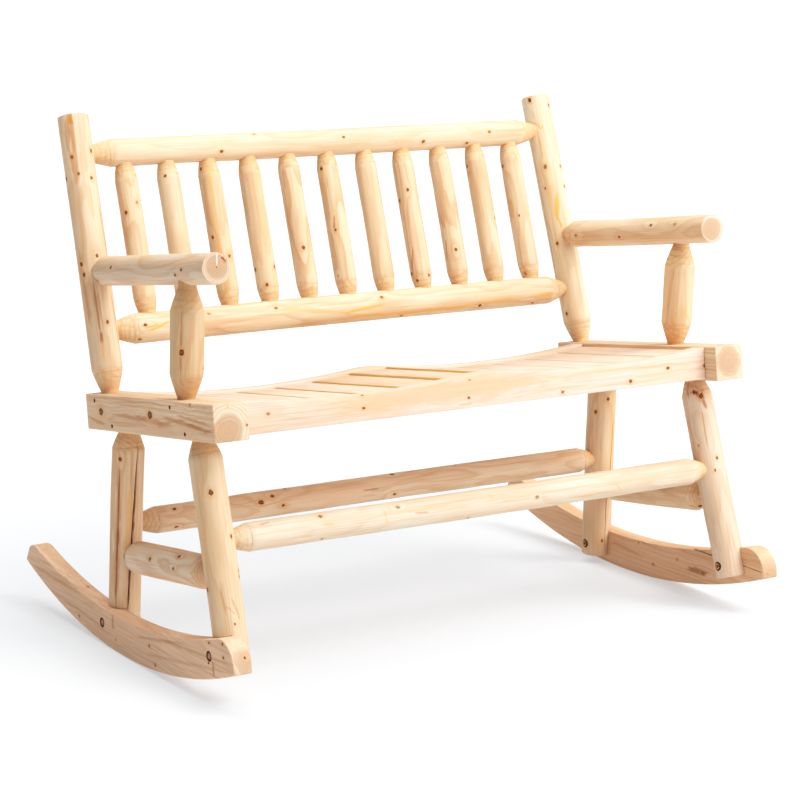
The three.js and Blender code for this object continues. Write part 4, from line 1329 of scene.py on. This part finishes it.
# Knots seen in the photograph: pixel x, pixel y, radius in mm, tone from 0 to 1.
KNOTS = {
    "left_back_post": [
        (91.1, 150.8, 4.0, 0.8), (71.8, 157.0, 3.6, 0.7), (62.3, 155.2, 2.4, 0.6),
        (78.6, 173.6, 3.2, 0.7), (66.2, 178.8, 3.6, 1.0), (91.6, 177.8, 3.2, 0.8),
        (75.4, 248.3, 3.0, 0.4), (97.1, 255.7, 3.4, 0.8), (81.4, 264.3, 3.8, 1.0),
        (84.0, 274.6, 3.6, 1.0), (107.6, 322.1, 3.4, 0.8),
    ],
    "right_back_post": [
        (529.5, 100.0, 4.0, 1.0), (548.6, 105.1, 3.2, 0.8), (545.2, 166.6, 4.0, 0.7),
        (545.2, 188.4, 2.4, 0.7), (560.3, 166.0, 3.0, 0.8), (564.3, 186.1, 3.0, 0.8),
        (557.3, 243.5, 3.2, 0.8), (566.7, 313.8, 3.2, 0.8),
    ],
    "top_back_rail": [
        (221.6, 151.4, 3.4, 0.8), (253.7, 134.1, 3.6, 0.5), (343.7, 137.2, 3.2, 0.8),
        (423.2, 141.6, 3.6, 0.9), (466.7, 143.1, 3.2, 0.8), (489.5, 131.8, 3.6, 0.7),
        (487.7, 146.9, 3.0, 0.8),
    ],
    "bottom_back_rail": [
        (145.4, 324.9, 3.6, 0.9), (140.0, 339.3, 3.0, 0.8), (208.6, 313.7, 3.4, 0.5),
        (276.0, 308.0, 3.8, 0.7), (381.6, 297.2, 3.8, 0.7), (401.3, 315.8, 3.0, 0.8),
        (479.9, 305.6, 3.8, 1.0), (532.5, 302.7, 3.2, 0.8), (471.4, 282.5, 3.0, 0.7),
    ],
    "left_arm": [
        (110.7, 267.3, 3.6, 0.8), (180.9, 269.8, 3.4, 0.8), (175.0, 275.0, 3.4, 1.0),
        (194.7, 252.7, 3.0, 0.7), (97.5, 280.7, 3.0, 0.7), (216.5, 267.2, 1.6, 1.0),
    ],
    "left_arm_post": [(181.7, 352.3, 5.2, 1.0), (203.3, 368.3, 3.2, 0.8)],
    "right_arm": [(575.7, 235.4, 3.6, 0.6), (619.2, 236.9, 3.2, 0.8), (650.7, 225.2, 3.4, 0.8),
                  (674.3, 224.3, 4.0, 0.4)],
    "back_spindle_1": [(137.0, 202.4, 3.2, 0.5), (126.0, 212.6, 3.2, 1.0)],
    "back_spindle_2": [(165.1, 175.9, 3.2, 0.8)],
    "back_spindle_3": [(201.0, 168.9, 3.0, 0.8), (212.5, 237.4, 3.2, 0.8),
                       (230.5, 233.4, 2.2, 0.7), (229.5, 255.9, 3.2, 0.8)],
    "back_spindle_4": [(255.4, 270.0, 3.0, 0.8), (274.5, 266.7, 3.2, 0.8), (267.0, 284.8, 3.2, 0.8)],
    "back_spindle_5": [(303.6, 247.7, 3.6, 0.8)],
    "back_spindle_6": [(321.2, 168.5, 3.4, 1.0), (335.4, 229.9, 2.4, 0.8), (338.0, 276.0, 2.6, 0.4)],
    "back_spindle_8": [(407.7, 189.8, 3.2, 0.8), (399.6, 200.7, 3.0, 0.8), (418.5, 195.7, 3.0, 0.8),
                       (411.8, 273.9, 3.2, 0.9), (428.9, 275.1, 3.0, 0.8), (417.4, 280.7, 3.0, 0.8)],
    "back_spindle_9": [(455.9, 249.5, 3.8, 0.8)],
    "back_spindle_10": [(467.0, 166.4, 3.2, 1.0), (494.9, 217.6, 3.2, 0.8)],
    "back_spindle_11": [(502.7, 166.3, 3.2, 0.8), (519.0, 215.6, 2.2, 0.8), (525.4, 273.4, 3.4, 0.5)],
    "left_end_beam": [(101.1, 411.6, 8.0, 1.0), (149.8, 415.1, 8.0, 1.0), (189.7, 405.0, 3.6, 0.4),
                      (247.0, 425.0, 2.6, 0.7)],
    "front_seat_rail": [
        (268.1, 413.9, 3.0, 0.6), (363.8, 408.3, 2.6, 1.0), (362.0, 394.9, 2.6, 0.8),
        (468.8, 397.8, 2.6, 1.0), (469.5, 379.9, 2.2, 0.5), (562.7, 392.1, 3.4, 0.7),
        (630.6, 381.3, 3.8, 0.8), (667.8, 368.1, 3.4, 0.9), (704.6, 365.6, 3.4, 0.9),
    ],
    "left_rear_leg": [(120.1, 459.2, 3.8, 0.8)],
    "left_side_stretcher": [
        (149.9, 559.2, 4.2, 0.7), (179.4, 556.3, 4.0, 0.9), (173.2, 568.7, 3.6, 0.7),
    ],
    "left_front_leg": [
        (210.9, 492.5, 4.4, 0.8), (194.8, 507.3, 3.0, 1.0), (231.2, 536.2, 3.0, 0.9),
        (238.6, 570.6, 3.0, 0.8), (239.2, 576.6, 3.0, 0.8), (207.5, 590.0, 3.4, 0.9),
        (235.0, 624.1, 1.8, 0.8),
    ],
    "rear_stretcher": [
        (174.2, 509.0, 3.2, 0.9), (176.6, 526.9, 3.2, 0.8), (261.1, 502.3, 5.0, 1.0),
        (272.1, 496.1, 3.6, 1.0), (284.6, 488.9, 2.8, 0.8), (283.2, 505.4, 3.2, 1.0),
        (391.8, 474.3, 3.4, 0.9), (394.5, 494.3, 3.2, 0.8), (455.5, 465.0, 2.6, 0.5),
    ],
    "front_stretcher": [
        (320.4, 516.3, 4.0, 0.7), (397.7, 507.1, 3.8, 0.6), (322.1, 538.9, 3.0, 0.6),
        (467.9, 518.0, 2.8, 0.8), (537.2, 497.0, 3.6, 0.6),
    ],
    "right_rear_leg": [(608.2, 399.2, 3.8, 0.8), (595.7, 412.2, 3.6, 0.8), (602.1, 540.7, 3.4, 0.7)],
    "right_front_leg": [
        (701.0, 395.8, 4.4, 1.0),
        (698.6, 445.7, 2.8, 0.4), (717.0, 457.8, 3.2, 0.8),
        (715.2, 470.2, 2.4, 0.9),
    ],
    "right_side_stretcher": [(700.3, 506.0, 4.2, 1.0)],
    "left_rocker": [
        (149.3, 645.8, 3.6, 0.6), (115.7, 639.5, 3.6, 0.35), (155.2, 665.0, 3.6, 0.5),
        (79.3, 616.0, 4.0, 0.5), (88.1, 586.7, 3.4, 0.6),
        (209.0, 642.9, 2.4, 1.0), (222.4, 644.0, 2.6, 1.0), (223.3, 657.9, 2.6, 1.0),
        (208.6, 663.0, 2.4, 1.0), (244.7, 657.9, 2.6, 1.0),
    ],
    "right_rocker": [(653.2, 564.2, 3.4, 0.45), (677.3, 559.6, 3.4, 0.3), (703.0, 573.4, 5.0, 0.4),
                     (638.6, 542.2, 3.0, 0.4), (653.5, 542.7, 3.0, 0.4)],
    "seat_slat_2": [(237.4, 392.8, 2.6, 0.8)],
}

# Stains seen in the photograph, and some stripes of painted light and shade along checks: start
# pixel, end pixel, half width in mm, tint, amount.
STAINS_AND_PAINTED_LIGHT = {
    "left_back_post": [
        ((69.2, 112), (70.8, 125), 6.5, AMBER, 1.0), ((70.4, 119), (74.6, 156), 6.0, TAN, 0.75),
        ((65.5, 118), (68.5, 150), 7.0, TAN, 0.5), ((72, 152), (78, 182), 9.0, TAN, 0.65),
        ((79, 187), (84, 256), 7.0, TAN, 0.25), ((100, 211), (107, 254), 2.0, TAN, 0.7),
        ((79, 254), (89.5, 318), 6.5, TAN, 0.5), ((93.2, 282), (100.6, 334), 2.6, BROWN, 0.6),
        ((100.7, 332), (101.4, 343), 3.4, BROWN, 0.8), ((101.5, 341), (103.4, 358), 2.4, RESIN, 0.7),
        ((96.5, 288), (104.5, 332), 1.6, TAN, 0.6), ((110.7, 290), (118.2, 341), 2.0, TAN, 0.75),
        ((103.4, 370), (105.5, 378), 2.4, RESIN, 0.6),
    ],
    "right_back_post": [
        ((530.5, 122), (536.5, 124.5), 2.0, RESIN, 1.0), ((536, 123), (541, 129.5), 2.0, RESIN, 1.0),
        ((540.5, 129.5), (543.5, 125), 2.0, RESIN, 1.0), ((538, 131), (542.5, 158), 3.4, TAN, 0.35),
        ((557, 193), (557, 220), 5.5, RESIN, 1.0), ((556.3, 214), (562.5, 228), 3.0, RESIN, 1.0),
        ((532.5, 150), (545.5, 216), 3.0, TAN, 0.45), ((545.5, 218), (556, 274), 3.0, TAN, 0.5),
    ],
    "back_spindle_5": [((282.8, 167.6), (295.5, 277.4), 3.0, TAN, 0.45)],
    "back_spindle_6": [
        ((322, 169), (322.5, 196), 5.0, RESIN, 0.6), ((334.1, 217), (334.1, 228), 2.2, BROWN, 0.7),
    ],
    "back_spindle_8": [((412.7, 251), (412.7, 277), 2.6, BROWN, 0.6)],
    "back_spindle_9": [((446, 240), (447, 260), 2.6, TAN, 0.7)],
    "back_spindle_11": [((515.2, 152), (515.2, 162), 4.0, RESIN, 0.6)],
    "bottom_back_rail": [
        ((146, 328), (158, 325), 2.6, RESIN, 1.0), ((152, 330), (170, 321), 2.8, RESIN, 0.9),
        ((284, 309), (344, 312.5), 6.0, RESIN, 0.5), ((346, 312.5), (384, 304.5), 4.4, RESIN, 0.9),
        ((350, 317), (402, 312.6), 4.6, RESIN, 0.85), ((398, 314), (470, 305.5), 5.5, RESIN, 0.9),
        ((472, 305), (511, 298.5), 2.8, RESIN, 1.0), ((509, 298.5), (523, 302), 2.8, RESIN, 0.9),
        ((534, 297), (553, 293.6), 5.0, RESIN, 0.9),
    ],
    "left_arm": [
        # The pale stripe along the check is a painted highlight of its lit inner wall.
        ((217.0, 253), (216.6, 265), 1.5, PAINTED_LIT_WALL, 1.0), ((215.2, 252), (220, 255.5), 2.4, BROWN, 0.7),
        ((221, 257), (226.5, 262), 3.2, DARK, 0.85), ((222, 260), (226.5, 264), 2.6, AMBER, 0.7),
    ],
    "left_arm_post": [((182, 313), (180.5, 379), 2.6, BROWN, 0.5)],
    "right_arm_post": [
        ((684, 309), (688, 319), 4.0, RESIN, 0.5), ((671, 316), (674, 326), 3.6, RESIN, 0.5),
    ],
    "left_rear_leg": [
        ((119.4, 466), (116.0, 606), 6.0, TAN, 0.5), ((119.6, 470), (117.2, 560), 2.4, BROWN, 0.9),
        ((117.6, 530), (115.8, 606), 2.8, BROWN, 0.85),
        ((131.0, 494), (127.0, 560), 8.0, RESIN, 0.5), ((137.4, 446), (133.0, 528), 2.4, BROWN, 0.6),
        # The dark stripe follows the check: painted shade inside it.
        ((134.4, 505), (127.6, 612), 2.4, DARK, 0.9),
    ],
    "left_front_leg": [
        ((221, 592), (226, 612), 3.0, TAN, 0.5), ((231, 598), (240, 618), 2.6, TAN, 0.5),
        ((226, 606), (235, 614), 2.4, TAN, 0.4),
        ((193.0, 446), (193.5, 458), 1.6, TAN, 0.6),
    ],
    "front_stretcher": [
        ((260, 525), (269, 522), 3.0, TAN, 0.6), ((384, 511), (387, 523), 4.0, RESIN, 0.4),
        ((303, 537), (313, 536), 3.6, RESIN, 0.5), ((324, 525), (334, 524), 3.0, RESIN, 0.45),
        ((415, 513), (428, 512.5), 2.2, TAN, 0.6), ((580, 497), (594, 495), 3.0, RESIN, 0.5),
        ((616, 484), (620, 489), 2.0, RESIN, 0.6), ((488, 494), (494, 500), 3.0, RESIN, 0.5),
    ],
    "rear_stretcher": [((364, 490.5), (378, 488.5), 2.0, BROWN, 0.6)],
    "right_rear_leg": [((614, 398), (610, 470), 5.0, RESIN, 0.5)],
    "right_front_leg": [
        ((700, 394), (707, 409), 5.0, BROWN, 0.75), ((702, 412), (707, 445), 2.4, TAN, 0.5),
        ((688, 385), (703, 391), 7.0, BROWN, 0.4), ((692, 391), (704, 397.5), 6.5, DARK, 1.0),
        ((687.5, 383), (689, 398), 3.6, BROWN, 0.5),
    ],
    "right_side_stretcher": [((688, 505), (700, 507), 4.0, TAN, 0.5)],
    "left_rocker": [
        ((112.6, 616), (112.9, 629), 6.0, TAN, 0.6), ((212.8, 662), (213.8, 676), 5.0, TAN, 0.7),
        ((36, 567), (76, 591), 4.5, TAN, 0.5), ((136, 637), (180, 643), 4.0, TAN, 0.45),
        ((160, 639), (232, 666), 4.0, TAN, 0.5), ((60, 596), (106, 630), 5.0, TAN, 0.35),
        ((70, 582), (140, 622), 5.0, TAN, 0.35), ((150, 655), (225, 672), 4.0, TAN, 0.35),
    ],
    "right_rocker": [
        # The two dark stripes follow the rocker's checks: painted shade inside them.
        ((689, 568.4), (706, 573.6), 7.0, BROWN, 0.75), ((692, 548.6), (715, 556.4), 2.6, DARK, 0.95),
        ((743, 565.2), (768, 573.8), 2.6, DARK, 0.95), ((612, 541), (640, 556), 5.0, TAN, 0.4),
    ],
    "left_end_beam": [
        ((227.0, 403), (227.2, 409), 2.2, RESIN, 0.9), ((117, 414), (148, 421), 5.0, TAN, 0.65),
        ((136, 417), (168, 425.5), 6.5, TAN, 0.7), ((157, 424), (186, 420), 4.0, TAN, 0.5),
        ((166, 418), (201, 430), 5.0, TAN, 0.65), ((186, 424), (213, 433.4), 4.0, BROWN, 0.5),
        ((178, 416), (211, 426.5), 3.5, TAN, 0.6), ((86.5, 416), (104, 424), 5.0, TAN, 0.65),
        ((100, 397), (160, 405), 3.0, TAN, 0.35), ((120, 404), (178, 412), 3.0, TAN, 0.35),
        ((178, 404.5), (208, 409), 3.0, TAN, 0.35),
    ],
    "front_seat_rail": [
        ((459, 404.8), (471, 404.0), 2.2, RESIN, 0.7), ((345, 405), (540, 379), 26.0, ROSE, 0.8),
    ],
}

# Lenses of rings in flat-sawn faces: pixel x, pixel y, half height and rise in mm.
EYES = {
    "front_seat_rail": [(326, 407.5, 17, 17), (411, 399.0, 7, 8), (522, 386, 13, 15)],
}

# Where a pith shows on an end face.
PITHS = {
    "left_end_beam": (227.5, 428.6),
    "right_end_beam": (729.7, 361.0),
    "left_arm": (216.0, 267.0),
    "right_arm": (712.2, 229.5),
    "left_rocker": (244.7, 657.9),
    "right_rocker": (771.0, 574.0),
}

# Drying checks: the pixels that each passes, its width and its depth in mm.
CHECKS = {
    "left_arm": [([(217.4, 254.4), (216.8, 259), (216.4, 264)], 1.6, 1.2)],
    "left_rear_leg": [
        ([(136.3, 440), (137.9, 449), (136.8, 464), (135.1, 494), (133.5, 517), (131.9, 542),
          (129.7, 569), (127.6, 611)], 4.8, 7.0),
    ],
    "right_rear_leg": [
        ([(615.5, 393), (616.2, 405), (612.9, 424), (610.2, 470), (606.2, 500),
          (604.1, 555)], 2.2, 9.0),
    ],
    "right_rocker": [
        ([(692.8, 548.9), (703, 552.2), (713.6, 556.0)], 2.4, 5.0),
        ([(745.0, 566.4), (754, 569.8), (764.0, 573.0)], 2.2, 4.0),
    ],
    "left_end_beam": [([(194, 429), (204, 430.6), (213, 433)], 0.8, 4.0)],
}


# ---- Wood of one piece
def add_group(t, group, state, inputs):
    """Adds a group that takes what it knows of the state, and renews it."""
    made = t.node("ShaderNodeGroup")
    made.node_tree = group
    for key, value in {**state, **inputs}.items():
        if key in made.inputs:
            t.feed(made.inputs[key], value)
    return {**state, **{output.name: output for output in made.outputs}}


def start_material(name):
    """A material without nodes yet, and the tree that adds them."""
    material = bpy.data.materials.new(name)
    material.use_nodes = True
    material.node_tree.nodes.clear()
    return material, Tree(material.node_tree)


def finish_surface(t, colour, rough, relief, settings):
    """The surface: relief is the bump's inputs, settings the shader's own numbers."""
    bump = t.node("ShaderNodeBump", relief)
    shader = t.node("ShaderNodeBsdfPrincipled", {
        "Base Color": colour, "Roughness": rough, "Normal": bump.outputs[0], **settings,
    })
    t.node("ShaderNodeOutputMaterial", {"Surface": shader.outputs[0]})


def grain_coordinates(t, piece):
    """The piece's own axes, with z along the grain, for a mesh that ends up in the world's."""
    inverse = piece.matrix_world.inverted()
    place = t.node("ShaderNodeTexCoord").outputs["Object"]
    turned_place = t.node("ShaderNodeMapping", {
        "Vector": place, "Location": inverse.translation, "Rotation": inverse.to_euler("XYZ"),
    })
    return turned_place.outputs[0]


def pith_of(piece, tree, node, kind, rng):
    """Where the rings' centre lies across the piece, in its own axes."""
    if node in PITHS:
        place = seen_on(piece, tree, *PITHS[node])
        return (place.x, place.y, 0.0)
    if kind == "log":
        return (rng.uniform(-0.004, 0.004), rng.uniform(-0.004, 0.004), 0.0)
    if kind == "slat":
        return (rng.uniform(-0.02, 0.02), rng.choice((-1, 1)) * rng.uniform(0.03, 0.07), 0.0)
    return (rng.choice((-1, 1)) * rng.uniform(0.035, 0.06), rng.uniform(-0.012, 0.012), 0.0)


def knots_of(piece, tree, node, kind, rng):
    """(place, radius, tone) of a piece's knots, seen and unseen, in metres."""
    knots = []
    for x, y, size, tone in KNOTS.get(node, ()):
        knots.append((seen_on(piece, tree, x, y), size * MM, tone))
    length = max(piece.dimensions)
    count = {"log": 7, "beam": 6, "rocker": 6, "plank": 6, "slat": 2}[kind]
    for place in unseen_places(piece, max(1, round(count * length)), rng):
        knots.append((place, rng.uniform(2.6, 4.6) * MM, rng.uniform(0.5, 1.0)))
    return knots


def holes_of(piece, node):
    """(place, radius) of the round holes along x in a piece, in its own axes and metres."""
    inverse = piece.matrix_world.inverted() @ SEAT
    side = -1 if node.startswith("left") else 1
    holes = []
    if node.endswith("_rocker"):
        for _, end in ENDS:
            holes.append((inverse @ (bolt_point(side, end) * MM), BORE_RADIUS * MM))
    if node.endswith("_end_beam"):
        for y, z in pin_places():
            holes.append((inverse @ (point(side * BEAM_X, y, z) * MM), PIN_RADIUS * MM))
    return holes


def dress(piece, node, kind):
    """Gives a wooden piece its checks and its own material."""
    rng = random.Random("wood " + node)
    bpy.context.view_layer.update()
    surface = surface_tree(piece)
    for pixels, width, depth in CHECKS.get(node, ()):
        cut(piece, check_cutter(piece, surface, pixels, width, depth))
    material, t = start_material(node + "_wood")
    place = grain_coordinates(t, piece)
    knots = knots_of(piece, surface, node, kind, rng)
    state = bend_grain(t, piece, surface, node, place, knots)
    look = look_of(node, kind, rng)
    look["Seed"] = tuple(rng.uniform(3, 60) for _ in range(3))
    look["Pith"] = pith_of(piece, surface, node, kind, rng)
    turn = piece.matrix_world.to_3x3()
    look["Axis"] = turn @ Vector((0, 0, 1))
    look["Cross"] = turn @ Vector((1, 0, 0))
    state = add_group(t, WOOD, state, look)
    # The marks lie in the piece's own axes, not in the bent grain's.
    state["Vector"] = place
    if kind == "log":
        cones = {"Low": "cone_low", "High": "cone_high", "Length": "cone_length", "Radius": "radius"}
        sizes = {name: piece[key] for name, key in cones.items()}
        state = add_group(t, TURNED, state, {**sizes, "Axis": look["Axis"]})
    state = add_marks(t, piece, surface, node, state, knots)
    rough = t.smooth(state["Height"], 0.0, 1.2, 0.66, 0.54)
    relief = {"Height": state["Height"], "Strength": 0.5, "Distance": 0.0005}
    finish_surface(t, state["Color"], rough, relief, {"Specular IOR Level": 0.32})
    piece.data.materials.clear()
    piece.data.materials.append(material)


def bend_grain(t, piece, surface, node, place, knots):
    """The grain's place and the rings' rise, bent by the piece's knots and eyes."""
    state = {"Vector": place, "Rise": 0.0}
    for where, size, _ in knots:
        state = add_group(t, SWERVE, state, {"Where": where, "Size": size})
    for x, y, size, lift in EYES.get(node, ()):
        where = seen_on(piece, surface, x, y)
        lens = {"Vector": place, "Where": where, "Size": size * MM, "Lift": lift * MM}
        state = add_group(t, EYE, state, lens)
    return state


def look_of(node, kind, rng):
    """The look of the piece's kind, with its own rings, contrast, resin and tint."""
    look = {**LOOKS[kind], "Resin": RESIN}
    look["Ring"] *= rng.uniform(0.85, 1.2)
    look["Contrast"] *= rng.uniform(0.8, 1.2) * CALM.get(node, 1.0)
    look["Resin amount"] *= rng.uniform(0.3, 1.5)
    factors = next((TINTS[key] for key in TINTS if node.startswith(key)), (1, 1, 1)) + (1,)
    for part in ("Sap", "Core"):
        look[part] = tuple(share * factor for share, factor in zip(look[part], factors))
    return look


def add_marks(t, piece, surface, node, state, knots):
    """Stains and stripes of painted light and shade, painted shade in round holes, and knots."""
    for start, finish, width, tint, amount in STAINS_AND_PAINTED_LIGHT.get(node, ()):
        first = seen_on(piece, surface, *start)
        last = seen_on(piece, surface, *finish)
        stripe = {"From": first, "To": last, "Width": width * MM, "Tint": tint, "Amount": amount}
        state = add_group(t, STRIPE, state, stripe)
    # The inside of each round hole is painted darker: painted shade.
    for where, radius in holes_of(piece, node):
        state = add_group(t, BORE_SHADE_GROUP, state, {"Where": where, "Radius": radius})
    for where, size, tone in knots:
        state = add_group(t, KNOT, state, {"Where": where, "Size": size, "Tone": tone})
    return state


CHECK_STEP = 12
CHECK_LIFT = 1.2
CHECK_FLARE = 1.2


def check_line(piece, surface, pixels):
    """Places and normals on the surface, closely spaced through the pixels."""
    marks = [seen_on(piece, surface, *pixel) for pixel in pixels]
    spots = []
    for first, last in zip(marks, marks[1:]):
        steps = max(2, ceil((last - first).length / (CHECK_STEP * MM)))
        spots += [first.lerp(last, step / steps) for step in range(steps)]
    return [surface.find_nearest(spot)[:2] for spot in spots + [marks[-1]]]


def check_cutter(piece, surface, pixels, width, depth):
    """A thin wedge that follows the surface through the pixels, in metres."""
    line = check_line(piece, surface, pixels)
    last = len(line) - 1
    vertices = []
    for index, (place, normal) in enumerate(line):
        ahead = line[min(index + 1, last)][0] - line[max(index - 1, 0)][0]
        across = ahead.cross(normal).normalized()
        share = sin(pi * index / last) ** 0.5
        half = across * (max(0.06, share) * width * MM / 2 * CHECK_FLARE)
        top = place + normal * (CHECK_LIFT * MM)
        vertices += [top + half, top - half, place - normal * (max(0.1, share) * depth * MM)]
    faces = [(0, 1, 2)]
    for a in range(0, 3 * last, 3):
        faces += [(a, a + 1, a + 4, a + 3), (a + 1, a + 2, a + 5, a + 4), (a + 2, a, a + 3, a + 5)]
    faces.append((3 * last, 3 * last + 2, 3 * last + 1))
    mesh = bpy.data.meshes.new("check")
    mesh.from_pydata([tuple(vertex) for vertex in vertices], [], faces)
    cutter = bpy.data.objects.new("check", mesh)
    bpy.context.scene.collection.objects.link(cutter)
    cutter.matrix_world = piece.matrix_world.copy()
    tidy_solid(mesh, 0)
    return cutter


# ---- Zinc-plated steel
BOLT_STEEL = (linear(184, 104, 66), linear(120, 60, 36))
NUT_STEEL = (linear(240, 178, 92), linear(206, 140, 70))
ZINC_WEAR = linear(104, 98, 54)
# Painted shade for the steel's flanks.
FLANK_SHADE = linear(46, 28, 18)


def steel_material(name, bright, dull):
    """Zinc plating with a patchy film, wear, fine scratches and painted shade on the flanks."""
    material, t = start_material(name)
    place = t.node("ShaderNodeTexCoord").outputs["Object"]
    colour = t.layer(bright, place, dull, (260, 260, 260), 0.35, 0.7, detail=3.0)
    colour = t.layer(colour, place, ZINC_WEAR, (900, 900, 900), 0.55, 0.75, 0.5)
    # The flanks, whose faces don't look along the bolt, are painted darker than the faces that do:
    # painted shade.
    along = t.facing((1.0, 0.0, 0.0))
    colour = t.mix(t.smooth(along, 0.8, 0.97, 0.85, 0.0), colour, FLANK_SHADE)
    rough = t.smooth(t.noise(place, (500, 500, 500), 2.0), 0.3, 0.7, 0.28, 0.5)
    scratch = t.noise(place, (1500, 1500, 300), 2.0)
    relief = {"Height": scratch, "Strength": 0.3, "Distance": 0.0002}
    finish_surface(t, colour, rough, relief, {"Metallic": 0.6})
    return material


# ---- Assembly
def settle(piece, node):
    """The piece stands for the CAD node, which is hidden, and hangs under the root body."""
    bpy.context.view_layer.update()
    piece.data.transform(piece.matrix_world)
    piece.matrix_world = Matrix.Identity(4)
    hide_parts(node)
    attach(piece, "root")


def build_wood():
    logs = {}
    beams = {}
    planks = {}
    rockers = {}
    slats = make_slats()
    for side_name, side in SIDES:
        logs.update(make_posts_and_arms(side_name, side))
        beams.update(make_beam(side_name, side))
        rockers.update(make_rocker(side_name, side))
        for end_name, end in ENDS:
            node = f"{side_name}_{end_name}_leg"
            logs[node] = make_leg(node, side, end)
    logs.update(make_stretchers())
    logs.update(make_back())
    planks.update(make_rail("front_seat_rail", FRONT_RAIL_Y))
    planks.update(make_rail("rear_seat_rail", REAR_RAIL_Y))
    planks.update(make_ledger("front_ledger", SLAT_FRONT))
    planks.update(make_ledger("rear_ledger", SLAT_REAR - LEDGER_THICKNESS))
    for pieces, kind, slot in (
        (logs, "log", "log"),
        (beams, "beam", "plank"),
        (rockers, "rocker", "plank"),
        (planks, "plank", "plank"),
        (slats, "slat", "slat"),
    ):
        for node, piece in pieces.items():
            dress(piece, node, kind)
            settle(piece, node)


def build_hardware():
    bolt_steel = steel_material("aged_zinc", *BOLT_STEEL)
    nut_steel = steel_material("yellow_zinc", *NUT_STEEL)
    for side_name, side in SIDES:
        for end_name, end in ENDS:
            made = make_bolt(f"{side_name}_{end_name}_bolt", side, end)
            made.update(make_nut(f"{side_name}_{end_name}_nut", side, end))
            for node, piece in made.items():
                steel = bolt_steel if node.endswith("_bolt") else nut_steel
                piece.data.materials.clear()
                piece.data.materials.append(steel)
                settle(piece, node)


# ---- Studio
FLOOR_REACH = 90.0
FLOOR_GLOW = 0.45
FAR_GLOW = 0.85
# How far from the middle of the floor its glow starts and stops to rise, in metres.
GLOW_START = 0.8
GLOW_END = 3.2
GLOW_COLOUR = (0.92, 1.0, 1.07, 1)
FLOOR_TONE = 0.5
BACKDROP_WHITE = 1.5
BACKDROP_LIGHT = 0.07


def build_floor():
    mesh = bpy.data.meshes.new("studio_floor")
    reach = FLOOR_REACH
    corners = [(-reach, -reach, 0), (reach, -reach, 0), (reach, reach, 0), (-reach, reach, 0)]
    mesh.from_pydata(corners, [], [(0, 1, 2, 3)])
    floor = bpy.data.objects.new("studio_floor", mesh)
    bpy.context.scene.collection.objects.link(floor)
    material = bpy.data.materials.new("studio_paper")
    material.use_nodes = True
    shader = material.node_tree.nodes["Principled BSDF"]
    shader.inputs["Base Color"].default_value = (FLOOR_TONE, FLOOR_TONE, FLOOR_TONE, 1)
    shader.inputs["Roughness"].default_value = 0.9
    shader.inputs["Specular IOR Level"].default_value = 0.0
    shader.inputs["Emission Color"].default_value = GLOW_COLOUR
    # The paper itself glows, less near the bench and more away from it, where it looks white: painted
    # light.
    t = Tree(material.node_tree)
    place = t.node("ShaderNodeTexCoord").outputs["Object"]
    glow = t.smooth(t.vector("LENGTH", place), GLOW_START, GLOW_END, FLOOR_GLOW, FAR_GLOW)
    t.feed(shader.inputs["Emission Strength"], glow)
    mesh.materials.append(material)


def add_sun(name, azimuth, elevation, strength, softness):
    """A soft distant light that comes from a compass angle and a height."""
    light = bpy.data.lights.new(name, "SUN")
    light.energy = strength
    light.angle = radians(softness)
    lamp = bpy.data.objects.new(name, light)
    bpy.context.scene.collection.objects.link(lamp)
    towards_light = Vector((
        sin(radians(azimuth)) * cos(radians(elevation)),
        -cos(radians(azimuth)) * cos(radians(elevation)),
        sin(radians(elevation)),
    ))
    lamp.rotation_euler = towards_light.to_track_quat("Z", "Y").to_euler()


def add_softbox(name, place, aim, size, power):
    """A square soft light at a place, turned to what it lights, in metres and watts."""
    light = bpy.data.lights.new(name, "AREA")
    light.shape = "SQUARE"
    light.size = size
    light.energy = power
    lamp = bpy.data.objects.new(name, light)
    bpy.context.scene.collection.objects.link(lamp)
    lamp.location = place
    lamp.rotation_euler = (Vector(place) - Vector(aim)).to_track_quat("Z", "Y").to_euler()


def build_light():
    world = bpy.data.worlds.new("studio")
    world.use_nodes = True
    background = world.node_tree.nodes["Background"]
    background.inputs["Color"].default_value = (1.0, 1.0, 1.0, 1)
    # The backdrop looks white from every side, and gives next to no light.
    t = Tree(world.node_tree)
    looked_at = t.node("ShaderNodeLightPath").outputs["Is Camera Ray"]
    strength = t.plus(t.times(looked_at, BACKDROP_WHITE), BACKDROP_LIGHT)
    t.feed(background.inputs["Strength"], strength)
    bpy.context.scene.world = world
    add_sun("key_light", 30, 52, 2.64, 30)
    add_sun("front_light", 0, 30, 1.13, 40)
    add_sun("back_light", 180, 60, 1.94, 60)
    add_softbox("top_softbox", (0.0, -0.4, 2.9), (0.0, -0.2, 0.0), 2.0, 49)
    add_softbox("right_softbox", (2.0, -1.8, 1.5), (0.0, 0.0, 0.5), 1.4, 47)


# The print's tone curve: scene brightness to picture brightness, both as shares.
TONE_WHITE = 1.3
TONE_CURVE = ((0.18, 0.165), (0.35, 0.335), (0.7, 0.65), (1.0, 0.86), (1.15, 0.945))


def set_tone():
    view = bpy.context.scene.view_settings
    view.view_transform = "Standard"
    view.use_curve_mapping = True
    mapping = view.curve_mapping
    mapping.white_level = (TONE_WHITE, TONE_WHITE, TONE_WHITE)
    for bright, shown in TONE_CURVE:
        mapping.curves[3].points.new(bright / TONE_WHITE, shown)
    mapping.update()


def build_camera():
    data = bpy.data.cameras.new("photo_camera")
    data.sensor_width = SENSOR_MM
    data.lens = FOCAL_PIXELS / IMAGE_SIZE * SENSOR_MM
    data.clip_end = 500
    camera = bpy.data.objects.new("photo_camera", data)
    bpy.context.scene.collection.objects.link(camera)
    turn = Matrix((RIGHT, UP, -FORWARD)).transposed().to_4x4()
    camera.matrix_world = Matrix.Translation(CAMERA_PLACE) @ turn
    bpy.context.scene.camera = camera


build_wood()
build_hardware()
build_floor()
build_light()
build_camera()
set_tone()
bpy.context.view_layer.update()
